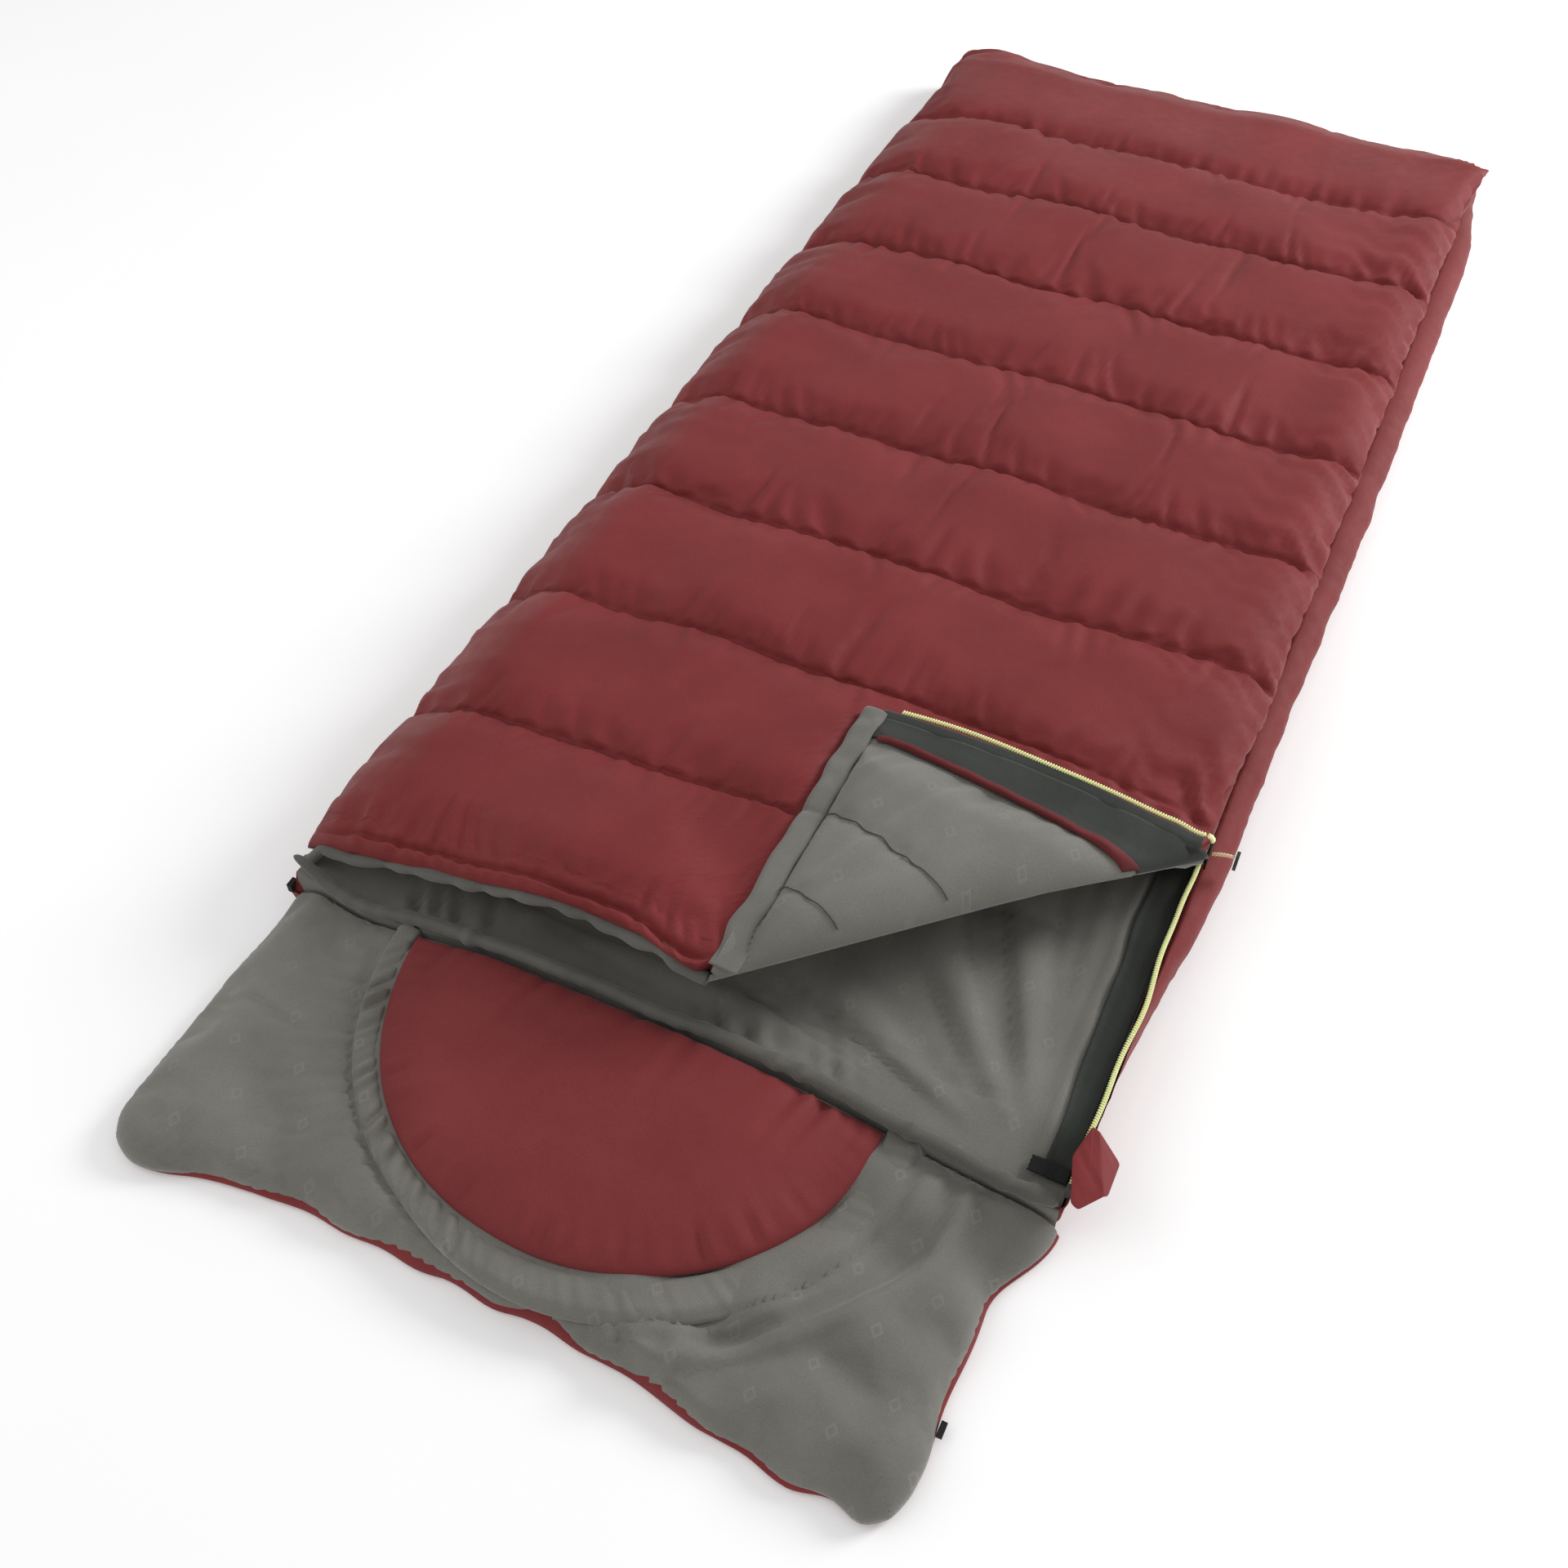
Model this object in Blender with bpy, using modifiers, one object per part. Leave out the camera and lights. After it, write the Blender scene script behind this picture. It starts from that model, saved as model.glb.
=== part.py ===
"""Rectangular quilted sleeping bag with a head section, lying with one head corner folded back.

Metres, +Z up. X runs across the bag with the zip on +X, Y runs along it with the foot at +Y, and the
origin is on the ground under the lower quilt. The lower quilt (base) carries the upper quilt (cover),
hinged along its left edge, the head section (hood), hinged at the neck, and the zip slider. The corner
of the cover turns back about a crease at 45 degrees.
"""

import math

import bmesh
import bpy
from mathutils import Matrix, Vector

# Overall size
HALF_WIDTH = 0.425
NECK_Y = -0.80
MOUTH_Y = -0.7735
FOOT_Y = 1.10
HEAD_Y = -1.10

# Sewing: fabric layers, clearance between pieces, the quilting pitch and lines
FABRIC = 0.0012
GAP = 0.0004
WALL_STEP = 0.0015
FILL_GAP = 0.0014
PITCH = 0.2056
BASE_SEAMS = [PITCH * (i - 3.5) for i in range(9)]
COVER_PITCH = 0.198
COVER_SEAMS = [COVER_PITCH * i - 0.573 for i in range(8)]

# Lower quilt
BASE_LOFT = 0.050
NECK_LOFT = 0.038
BASE_RIM_LOW = 0.030
BASE_RIM_HIGH = 0.034
BASE_SEAM_Z = 0.0575
BASE_ROUND = 0.040
NECK_TAPER = 0.06
NECK_FLAT = 0.03
BASE_RIM = 0.021
BASE_GROOVE = 0.006
GROOVE_HALF = 0.03
LINER_DIP = 0.004
GUARD_X = (0.345, 0.396)
ROLL_RADIUS = 0.0125

# Hinge line between the two quilts, along the left edge
FOLD_X = -HALF_WIDTH
FOLD_Z = 0.066
FOLD_CLEAR = 0.0006

# Upper quilt
COVER_RIGHT = 0.405
COVER_FOOT = 1.080
COVER_HEAD = MOUTH_Y + 0.0135
COVER_EDGE_Z = 0.0935
COVER_LIFT = 0.100
HEAD_LIFT = 0.036
LIFT_START_Y = -0.25
MOUTH_RAMP = 0.50
COVER_LOFT = 0.045
COVER_EDGE_LOFT = 0.014
HEAD_EDGE_LOFT = 0.028
COVER_SEAM_DEPTH = 0.016
CROWN_INSET = 0.05
COVER_RIM = 0.007
FOOT_THIN = 0.45
FOOT_LENGTH = 0.35

# Turned-back corner: crease from the head edge to the zip, and the folded quilt's own thickness
CREASE_HEAD_X = 0.045
CREASE_SETBACK = 0.0015
CREASE_HEAD_Z = 0.163
CREASE_ZIP_Z = 0.139
CREASE_LOFT = 0.006
CREASE_BLEND = 0.22
FOLD_ANGLE = math.radians(174.5)
CORNER_LOFT = 0.030
CORNER_ROUND = 0.036
CORNER_END = 0.345

# Zip: chain line, coil and tape sizes
ZIP_X = 0.401
ZIP_FOOT_Y = 1.076
ZIP_TURN = 0.040
ZIP_HEAD_Y = NECK_Y + 0.015
ZIP_END_X = -0.28
COIL_RADIUS = 0.0026
BASE_COIL_Z = 0.0722
COVER_COIL_Z = 0.0790
TAPE_THICK = 0.001
SLIDER_Y = -0.380
SLIDER_LENGTH = 0.028

# Head section and pillow
HOOD_RIGHT = 0.405
HOOD_NECK = NECK_Y - 0.002
HOOD_LOFT = 0.034
HOOD_EDGE = 0.014
HOOD_CORNER = 0.070
HOOD_TAPER = 0.034
TAPER_LENGTH = 0.095
HOOD_TAB_Y = -1.007
HOOD_TAB_WIDTH = 0.014
PILLOW_X = -0.020
PILLOW_Y = NECK_Y - 0.010
PILLOW_HALF = 0.250
PILLOW_DEPTH = 0.228
PILLOW_CROWN = 0.040
PILLOW_EDGE = 0.004

# Photo colours in sRGB, 0 to 255
MAROON = (132, 62, 65)
PILLOW_MAROON = (116, 50, 54)
GREY = (120, 118, 111)
BLACK = (42, 45, 44)
LIME = (220, 234, 150)
CREAM = (245, 220, 182)
WHITE = (226, 224, 216)


def smooth(t):
    """Cubic ease from 0 to 1."""
    t = min(max(t, 0.0), 1.0)
    return t * t * (3.0 - 2.0 * t)


def quarter_round(t):
    """Quarter circle from 0 at t = 0 to 1 at t = 1 and beyond."""
    t = min(max(t, 0.0), 1.0)
    return math.sqrt(1.0 - (1.0 - t) ** 2)


def seam_share(y, seams, half):
    """1 on a quilting line, falling to 0 at the given distance from it."""
    nearest = min(abs(y - line) for line in seams)
    return max(0.0, 1.0 - nearest / half)


def srgb(colour):
    """8-bit sRGB to linear RGBA."""
    values = [c / 255.0 for c in colour]
    return [v / 12.92 if v <= 0.04045 else ((v + 0.055) / 1.055) ** 2.4 for v in values] + [1.0]


def material(name, colour, roughness):
    found = bpy.data.materials.get(name) or bpy.data.materials.new(name)
    found.use_nodes = True
    shader = found.node_tree.nodes["Principled BSDF"]
    shader.inputs["Base Color"].default_value = srgb(colour)
    shader.inputs["Roughness"].default_value = roughness
    found.diffuse_color = srgb(colour)
    return found


def add_object(name, data, colour, roughness, parent=None):
    """Names the data, gives it a material of its own and links it to the bag's collection."""
    data.materials.append(material(name + "_finish", colour, roughness))
    piece = bpy.data.objects.new(name, data)
    piece.parent = parent
    bpy.data.collections["sleeping_bag"].objects.link(piece)
    return piece


def add_mesh(name, shape, colour, roughness, parent=None):
    bmesh.ops.recalc_face_normals(shape, faces=shape.faces[:])
    data = bpy.data.meshes.new(name)
    shape.to_mesh(data)
    shape.free()
    return add_object(name, data, colour, roughness, parent)


def layer(name, columns, rows, upper, lower, colour, place=None, roughness=0.8, parent=None, to_frame=None):
    """Closed slab: a triangulated grid at height upper(x, y, column, row), extruded to lower(...)."""
    place = place or (lambda column, row: (column, row))
    shape = bmesh.new()
    bmesh.ops.create_grid(shape, x_segments=len(columns) - 1, y_segments=len(rows) - 1, size=1.0)
    bmesh.ops.triangulate(shape, faces=shape.faces[:], quad_method="FIXED")
    made = bmesh.ops.extrude_face_region(shape, geom=shape.faces[:])
    below = {item for item in made["geom"] if isinstance(item, bmesh.types.BMVert)}
    for vert in shape.verts:
        i = round((vert.co.x + 1.0) / 2.0 * (len(columns) - 1))
        j = round((vert.co.y + 1.0) / 2.0 * (len(rows) - 1))
        x, y = place(columns[i], rows[j])
        height = (lower if vert in below else upper)(x, y, i, j)
        vert.co = to_frame(x, y, height) if to_frame else (x, y, height)
    bmesh.ops.remove_doubles(shape, verts=shape.verts[:], dist=1e-6)
    bmesh.ops.dissolve_degenerate(shape, dist=1e-6, edges=shape.edges[:])
    return add_mesh(name, shape, colour, roughness, parent)


def tube(name, points, radius, colour, roughness=0.8, parent=None, resolution=2):
    """Round tube along a polyline, with filled ends."""
    data = bpy.data.curves.new(name, "CURVE")
    data.dimensions = "3D"
    data.bevel_depth = radius
    data.bevel_resolution = resolution
    data.use_fill_caps = True
    line = data.splines.new("POLY")
    line.points.add(len(points) - 1)
    for point, co in zip(line.points, points):
        point.co = (*co, 1.0)
    return add_object(name, data, colour, roughness, parent)


def box(name, low, high, colour, roughness=0.7, parent=None):
    """Block between two corners."""
    shape = bmesh.new()
    bmesh.ops.create_cube(shape, size=1.0)
    for vert in shape.verts:
        vert.co = [a + (b - a) * (c + 0.5) for a, b, c in zip(low, high, vert.co)]
    return add_mesh(name, shape, colour, roughness, parent)


def outline_slab(name, points, thickness, matrix, colour, roughness=0.7, parent=None):
    """Flat outline with a thickness, drawn in its own XY plane and placed by a matrix."""
    data = bpy.data.curves.new(name, "CURVE")
    data.dimensions = "2D"
    data.fill_mode = "BOTH"
    data.extrude = thickness / 2.0
    line = data.splines.new("POLY")
    line.points.add(len(points) - 1)
    for point, co in zip(line.points, points):
        point.co = (co[0], co[1], 0.0, 1.0)
    line.use_cyclic_u = True
    piece = add_object(name, data, colour, roughness, parent)
    piece.matrix_local = matrix
    return piece


def empty(name, matrix, parent=None):
    """Joint frame of a moving body."""
    frame = bpy.data.objects.new(name, None)
    bpy.data.collections["sleeping_bag"].objects.link(frame)
    frame.parent = parent
    frame.matrix_world = matrix
    return frame


def lines(low, high, rim_low, rim_high, inside):
    """Grid lines of a tray and of the pad inside it. A rim is a row of offsets from its edge."""
    tray = [low + r for r in rim_low]
    pad = list(inside)
    if len(rim_low) > 1:
        tray.append(tray[-1] + WALL_STEP)
        pad.insert(0, tray[-1] + GAP)
    else:
        pad.insert(0, low)
    ends = [high - r for r in rim_high]
    if len(rim_high) > 1:
        ends.append(ends[-1] - WALL_STEP)
        pad.append(ends[-1] - GAP)
    else:
        pad.append(high)
    return tray + list(inside) + ends[::-1], pad


def quilt(prefix, across, along, rims, outer, inner, shell_colour, place=None, parent=None):
    """Shell, fill and liner of one quilt: a thin tray with solid rims, a pad in it and a sheet on the pad."""
    tray_columns, pad_columns = across
    tray_rows, pad_rows = along
    up = 1.0 if outer(0.0, 0.0) > inner(0.0, 0.0) else -1.0
    last = (len(tray_columns) - 1, len(tray_rows) - 1)

    def on_rim(i, j):
        left, right, head, foot = rims
        return i < left or i > last[0] - right or j < head or j > last[1] - foot

    def shell_back(x, y, i, j):
        return inner(x, y) if on_rim(i, j) else outer(x, y) - up * FABRIC

    def at(surface, offset):
        return lambda x, y, i, j: surface(x, y) + up * offset

    inset = FABRIC + GAP
    layer(prefix + "_shell", tray_columns, tray_rows, at(outer, 0.0), shell_back, shell_colour, place,
          0.62, parent)
    layer(prefix + "_fill", pad_columns, pad_rows, at(outer, -FABRIC - FILL_GAP), at(inner, inset), WHITE,
          place, 0.95, parent)
    layer(prefix + "_liner", pad_columns, pad_rows, at(inner, FABRIC), at(inner, 0.0), GREY, place,
          0.85, parent)


def base_bottom(x, y):
    """Underside on the ground: flat, with a groove at each quilting line and rounded rims."""
    side = max(0.0, abs(x) - (HALF_WIDTH - BASE_ROUND)) / BASE_ROUND
    end = max(0.0, y - (FOOT_Y - BASE_ROUND)) / BASE_ROUND
    reach = min(1.0, math.hypot(side, end))
    round_up = BASE_RIM_LOW * (1.0 - math.sqrt(1.0 - reach * reach))
    neck = 0.004 * smooth((NECK_Y + NECK_FLAT - y) / NECK_FLAT)
    return max(round_up, neck, BASE_GROOVE * seam_share(y, BASE_SEAMS, GROOVE_HALF))


def neck_share(y):
    """1 at the neck, 0 where the quilt has its full loft."""
    return smooth((NECK_Y + NECK_FLAT + NECK_TAPER - y) / NECK_TAPER)


def base_inside(x, y):
    """Liner side of the lower quilt, between its rims."""
    height = BASE_LOFT + (NECK_LOFT - BASE_LOFT) * neck_share(y)
    height -= LINER_DIP * seam_share(y, BASE_SEAMS, GROOVE_HALF) * (1.0 - neck_share(y))
    right = smooth((x - GUARD_X[0]) / (GUARD_X[1] - GUARD_X[0])) * (1.0 - neck_share(y))
    left = smooth((-0.33 - x) / 0.085) * (1.0 - neck_share(y))
    foot = smooth((y - 1.01) / 0.065)
    return height + (BASE_SEAM_Z - height) * max(right, left, foot)


def base_top(x, y):
    """Liner side, with the rim outside the zip rolling down and the left edge standing up to the hinge."""
    edge_x = HALF_WIDTH - BASE_RIM
    edge_y = FOOT_Y - BASE_RIM
    fall = BASE_SEAM_Z - BASE_RIM_HIGH
    if x < -HALF_WIDTH + COVER_RIM:
        return min(FOLD_Z - FOLD_CLEAR, BASE_SEAM_Z if y > edge_y else FOLD_Z)
    if x < edge_x - 1e-6 and y < edge_y - 1e-6:
        return base_inside(x, y)
    reach = min(1.0, math.hypot(max(0.0, x - edge_x), max(0.0, y - edge_y)) / BASE_RIM)
    return BASE_RIM_HIGH + fall * math.sqrt(1.0 - reach * reach)


def head_share(y):
    """Rise of the upper quilt towards its mouth, 0 to 1."""
    return min(max((LIFT_START_Y - y) / (LIFT_START_Y - MOUTH_Y), 0.0), 1.0) ** 1.15


def crease_frame(x, y):
    """Distance past the crease line, positive on the cover, and the height of the crease there."""
    past = (CREASE_HEAD_X - MOUTH_Y - (x - y)) / math.sqrt(2.0)
    along = ((x - CREASE_HEAD_X) + (y - MOUTH_Y)) / 2.0
    slope = (CREASE_ZIP_Z - CREASE_HEAD_Z) / (COVER_RIGHT - CREASE_HEAD_X)
    return past, CREASE_HEAD_Z + slope * along


def cover_sheet(x, y):
    """Liner side of the upper quilt before the corner is turned back."""
    lift = COVER_LIFT + HEAD_LIFT * head_share(y)
    right = smooth((COVER_RIGHT - x) / 0.09)
    foot = smooth((COVER_FOOT - y) / 0.10)
    height = COVER_EDGE_Z + (lift - COVER_EDGE_Z) * right * foot
    low = FOLD_Z + FOLD_CLEAR
    head = head_share(y)
    ramp = math.sin(math.pi / 2.0 * min(max((x - FOLD_X) / MOUTH_RAMP, 0.0), 1.0))
    left = (1.0 - head) * smooth((x - FOLD_X) / 0.10) + head * ramp
    return low + (height - low) * left


def cover_top(x, y):
    """Outer face of the upper quilt: crowned channels, rounded edges, level with the crease beside it."""
    past, crease_z = crease_frame(x, y)
    edge = min(quarter_round((COVER_RIGHT - x) / 0.07), quarter_round((x - FOLD_X) / 0.07))
    edge *= quarter_round((COVER_FOOT - y) / 0.08)
    head = HEAD_EDGE_LOFT / COVER_LOFT
    edge *= head + (1.0 - head) * quarter_round((y - COVER_HEAD) / 0.05)
    edge *= 1.0 - FOOT_THIN * (1.0 - smooth((COVER_FOOT - y) / FOOT_LENGTH))
    loft = COVER_EDGE_LOFT + (COVER_LOFT - COVER_EDGE_LOFT) * edge
    loft -= COVER_SEAM_DEPTH * seam_share(y, COVER_SEAMS, CROWN_INSET) * edge
    free = cover_sheet(x, y) + loft
    near = (1.0 - smooth(past / CREASE_BLEND)) * smooth((COVER_RIGHT - 0.008 - x) / 0.04)
    return free + (crease_z - 2.0 * GAP - free) * near


def cover_under(x, y):
    """Liner side, rounding up to the outer face at the crease."""
    past, _ = crease_frame(x, y)
    loft = CREASE_LOFT + COVER_LOFT * quarter_round(past / COVER_LOFT)
    return max(cover_sheet(x, y), cover_top(x, y) - loft)


def cover_place(column, row):
    """Columns laid out for the full width, squeezed where the crease cuts the row short."""
    right = min(COVER_RIGHT, row + CREASE_HEAD_X - MOUTH_Y - CREASE_SETBACK * math.sqrt(2.0))
    start = FOLD_X + 0.14
    end = COVER_RIGHT - 0.14
    share = min(max((column - start) / (end - start), 0.0), 1.0)
    return column - (COVER_RIGHT - right) * share, row


def hood_draw(y):
    """How far the right edge of the head section is drawn in, from 0 at the neck."""
    return HOOD_TAPER * smooth((HOOD_NECK - y) / TAPER_LENGTH)


def hood_place(column, row):
    """Rounds the two head-end corners of the head section and draws its right side in."""
    x, y = column, row
    for side in (-1.0, 1.0):
        edge = -HALF_WIDTH if side < 0 else HOOD_RIGHT
        dx = (column - (edge - side * HOOD_CORNER)) * side
        dy = HEAD_Y + HOOD_CORNER - row
        if dx > 0.0 and dy > 0.0:
            pull = max(dx, dy) / math.hypot(dx, dy)
            x = edge - side * HOOD_CORNER + side * dx * pull
            y = HEAD_Y + HOOD_CORNER - dy * pull
    return x - hood_draw(y) * max(0.0, x / HOOD_RIGHT) ** 2, y


def hood_edge(x, y, width):
    right = HOOD_RIGHT - hood_draw(y)
    return min(quarter_round((x + HALF_WIDTH) / width), quarter_round((right - x) / width),
               quarter_round((y - HEAD_Y) / width))


def hood_top(x, y):
    return HOOD_EDGE + (HOOD_LOFT - HOOD_EDGE) * hood_edge(x, y, 0.06)


def hood_bottom(x, y):
    return 0.006 * (1.0 - hood_edge(x, y, 0.03))


def zip_path(head_y, end_x):
    """Chain line in plan: up the side, round the foot corner and along the foot."""
    side = [(ZIP_X, head_y), (ZIP_X, 0.3)]
    centre = (ZIP_X - ZIP_TURN, ZIP_FOOT_Y - ZIP_TURN)
    turn = []
    for step in range(7):
        angle = math.pi / 2.0 * step / 6.0
        turn.append((centre[0] + ZIP_TURN * math.cos(angle), centre[1] + ZIP_TURN * math.sin(angle)))
    return side + turn + [(end_x, ZIP_FOOT_Y)]


def zip_tape(name, head_y, end_x, low, high):
    """Tape standing on edge along the chain line: a grid strip with a thickness."""
    path = zip_path(head_y, end_x)
    shape = bmesh.new()
    bmesh.ops.create_grid(shape, x_segments=len(path) - 1, y_segments=1, size=1.0)
    for vert in shape.verts:
        x, y = path[round((vert.co.x + 1.0) / 2.0 * (len(path) - 1))]
        vert.co = (x, y, low if vert.co.y < 0.0 else high)
    piece = add_mesh(name, shape, BLACK, 0.8)
    wall = piece.modifiers.new("thickness", "SOLIDIFY")
    wall.thickness = TAPE_THICK
    wall.offset = 0.0
    wall.use_even_offset = True
    return piece


def zip_coil(name, head_y, end_x, z):
    points = [(x, y, z) for x, y in zip_path(head_y, end_x)]
    return tube(name, points, COIL_RADIUS, LIME, 0.45, resolution=1)


def build_base():
    patch = [NECK_Y + 0.028, NECK_Y + 0.045]
    rows = patch + [y + d for y in BASE_SEAMS for d in (-GROOVE_HALF, 0.0, GROOVE_HALF)] + [1.01, 1.05]
    columns = [-0.37, -0.28, 0.0, 0.28, *GUARD_X]
    across = lines(-HALF_WIDTH, HALF_WIDTH, (0.0, 0.006), (0.0, 0.008, BASE_RIM), columns)
    along = lines(NECK_Y + 0.0005, FOOT_Y, (0.0, 0.004), (0.0, 0.008, BASE_RIM), rows)
    quilt("base", across, along, (2, 3, 2, 3), base_bottom, base_top, MAROON)

    def over_liner(offset):
        return lambda x, y, i, j: base_inside(x, y) + offset

    tape = GAP + 0.0015
    layer("base_zip_guard", GUARD_X, rows[:-1], over_liner(tape), over_liner(GAP), BLACK)
    layer("hook_patch", GUARD_X, patch, over_liner(2.0 * tape), over_liner(tape + GAP), BLACK)

    roll_z = NECK_LOFT + 2.0 * GAP + ROLL_RADIUS
    ends = (-0.405, 0.392)
    tube("neck_roll", [(x, NECK_Y + ROLL_RADIUS + 0.001, roll_z) for x in ends], ROLL_RADIUS, GREY, resolution=3)

    zip_tape("base_zip_tape", ZIP_HEAD_Y, ZIP_END_X, BASE_SEAM_Z + GAP, BASE_COIL_Z - COIL_RADIUS - GAP)
    zip_coil("base_zip_coil", ZIP_HEAD_Y, ZIP_END_X, BASE_COIL_Z)
    box("zip_top_stop", (ZIP_X - 0.003, ZIP_HEAD_Y - 0.006, BASE_SEAM_Z + GAP),
        (ZIP_X + 0.003, ZIP_HEAD_Y - GAP, BASE_COIL_Z + 0.003), BLACK)
    box("zip_end_box", (ZIP_END_X - 0.018, ZIP_FOOT_Y - 0.004, BASE_SEAM_Z + GAP),
        (ZIP_END_X - GAP, ZIP_FOOT_Y + 0.003, COVER_COIL_Z + 0.003), BLACK)
    box("neck_tab", (FOLD_X - 0.010, NECK_Y + 0.001, 0.036), (FOLD_X - GAP, NECK_Y + 0.012, 0.047), BLACK)
    foot_z = base_top(HALF_WIDTH - BASE_RIM, FOOT_Y - BASE_RIM) + GAP
    box("foot_tab", (ZIP_X - 0.006, FOOT_Y - 0.021, foot_z), (ZIP_X + 0.008, FOOT_Y, foot_z + 0.004), BLACK)


def build_hood():
    axis = empty("hood_axis", Matrix.Translation((0.0, NECK_Y, 0.045)))
    shift = axis.matrix_world.inverted()
    columns = [-0.38, -0.32, -0.12, 0.10, 0.30, 0.36]
    across = lines(-HALF_WIDTH, HOOD_RIGHT, (0.0, 0.006), (0.0, 0.006), columns)
    along = lines(HEAD_Y, HOOD_NECK, (0.0, 0.006), (0.0, 0.004), [-1.055, -1.0, -0.90])
    quilt("hood", across, along, (2, 2, 2, 2), hood_bottom, hood_top, MAROON, hood_place)

    turn = [math.pi * i / 12.0 for i in range(13)]
    rings = [0.0, 0.2, 0.4, 0.6, 0.8, 0.93, 1.0]
    floor = HOOD_LOFT + GAP

    def pillow_place(angle, ring):
        return (PILLOW_X + PILLOW_HALF * ring * math.cos(angle),
                PILLOW_Y - PILLOW_DEPTH * ring * math.sin(angle))

    def dome(x, y):
        ring = math.hypot((x - PILLOW_X) / PILLOW_HALF, (y - PILLOW_Y) / PILLOW_DEPTH)
        crown = PILLOW_CROWN * math.sqrt(max(0.0, 1.0 - ring * ring)) * quarter_round((PILLOW_Y - y) / 0.13)
        return floor + PILLOW_EDGE + crown

    layer("pillow_pad", turn, rings, lambda x, y, i, j: dome(x, y) - FABRIC - GAP,
          lambda x, y, i, j: floor, WHITE, pillow_place, 0.95)
    layer("pillow_panel", turn, rings, lambda x, y, i, j: dome(x, y),
          lambda x, y, i, j: dome(x, y) - FABRIC, PILLOW_MAROON, pillow_place, 0.62)

    band_radius = 0.011
    beyond = 0.018
    band = []
    for step in range(17):
        angle = 0.12 + (math.pi - 0.24) * step / 16.0
        band.append((PILLOW_X + (PILLOW_HALF + beyond) * math.cos(angle),
                     PILLOW_Y - (PILLOW_DEPTH + beyond) * math.sin(angle), floor + band_radius + GAP))
    tube("pillow_band", band, band_radius, GREY)
    tab_x = HOOD_RIGHT - HOOD_TAPER + GAP
    tab_y = (HOOD_TAB_Y - HOOD_TAB_WIDTH / 2.0, HOOD_TAB_Y + HOOD_TAB_WIDTH / 2.0)
    box("hood_tab", (tab_x, tab_y[0], 0.006), (tab_x + 0.010, tab_y[1], 0.010), BLACK)

    names = ("hood_shell", "hood_fill", "hood_liner", "pillow_pad", "pillow_panel", "pillow_band", "hood_tab")
    for name in names:
        piece = bpy.data.objects[name]
        piece.parent = axis
        piece.matrix_parent_inverse = shift


def build_cover():
    axis = empty("cover_axis", Matrix.Translation((FOLD_X, 0.0, FOLD_Z)))
    shift = axis.matrix_world.inverted()
    zip_corner_y = COVER_RIGHT - CREASE_HEAD_X + MOUTH_Y + CREASE_SETBACK * math.sqrt(2.0)
    rows = [COVER_HEAD + CROWN_INSET]
    for seam in COVER_SEAMS:
        rows += [seam - CROWN_INSET, seam, seam + CROWN_INSET]
    rows = [row for row in rows if abs(row - zip_corner_y) > 0.01]
    rows = sorted(rows + [zip_corner_y, COVER_SEAMS[-1] + 0.12])
    columns = [-0.39, -0.345, -0.285, 0.0, 0.265, 0.32, 0.37]
    across = lines(FOLD_X + GAP, COVER_RIGHT, (0.0, COVER_RIM), (0.0, COVER_RIM), columns)
    along = lines(COVER_HEAD, COVER_FOOT, (0.0,), (0.0, COVER_RIM), rows)
    quilt("cover", across, along, (2, 2, 0, 2), cover_top, cover_under, MAROON, cover_place)

    hem_radius = 0.013
    hem_y = COVER_HEAD - 2.0 * GAP - hem_radius
    hem = []
    for step in range(15):
        x = FOLD_X + 0.010 + (CREASE_HEAD_X - 0.014 - FOLD_X - 0.010) * step / 14.0
        hem.append((x, hem_y, cover_sheet(x, COVER_HEAD) + hem_radius + 0.001))
    tube("cover_hem", hem, hem_radius, GREY)

    head = SLIDER_Y + SLIDER_LENGTH / 2.0 + 0.006
    zip_tape("cover_zip_tape", head, ZIP_END_X, COVER_COIL_Z + COIL_RADIUS + GAP, COVER_EDGE_Z - GAP)
    zip_coil("cover_zip_coil", head, ZIP_END_X, COVER_COIL_Z)

    tube_length = 1.36
    shape = bmesh.new()
    bmesh.ops.create_cone(shape, cap_ends=True, segments=10, radius1=1.0, radius2=1.0, depth=tube_length)
    for vert in shape.verts:
        x, y, z = vert.co
        vert.co = (0.358 + 0.026 * x, 0.335 + z, 0.0862 + 0.006 * y)
    add_mesh("cover_baffle", shape, MAROON, 0.7)

    names = ("cover_shell", "cover_fill", "cover_liner", "cover_hem", "cover_zip_tape", "cover_zip_coil",
             "cover_baffle")
    for name in names:
        piece = bpy.data.objects[name]
        piece.parent = axis
        piece.matrix_parent_inverse = shift


def crease_matrix():
    """Frame on the crease: X from the head edge to the zip, Y on to the cover, Z up."""
    head = Vector((CREASE_HEAD_X, MOUTH_Y, CREASE_HEAD_Z))
    end = Vector((COVER_RIGHT, MOUTH_Y + COVER_RIGHT - CREASE_HEAD_X, CREASE_ZIP_Z))
    along = (end - head).normalized()
    inward = Vector((-1.0, 1.0, 0.0)).normalized()
    turn = Matrix((along, inward, along.cross(inward))).transposed().to_4x4()
    return Matrix.Translation((head + end) / 2.0) @ turn


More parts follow.
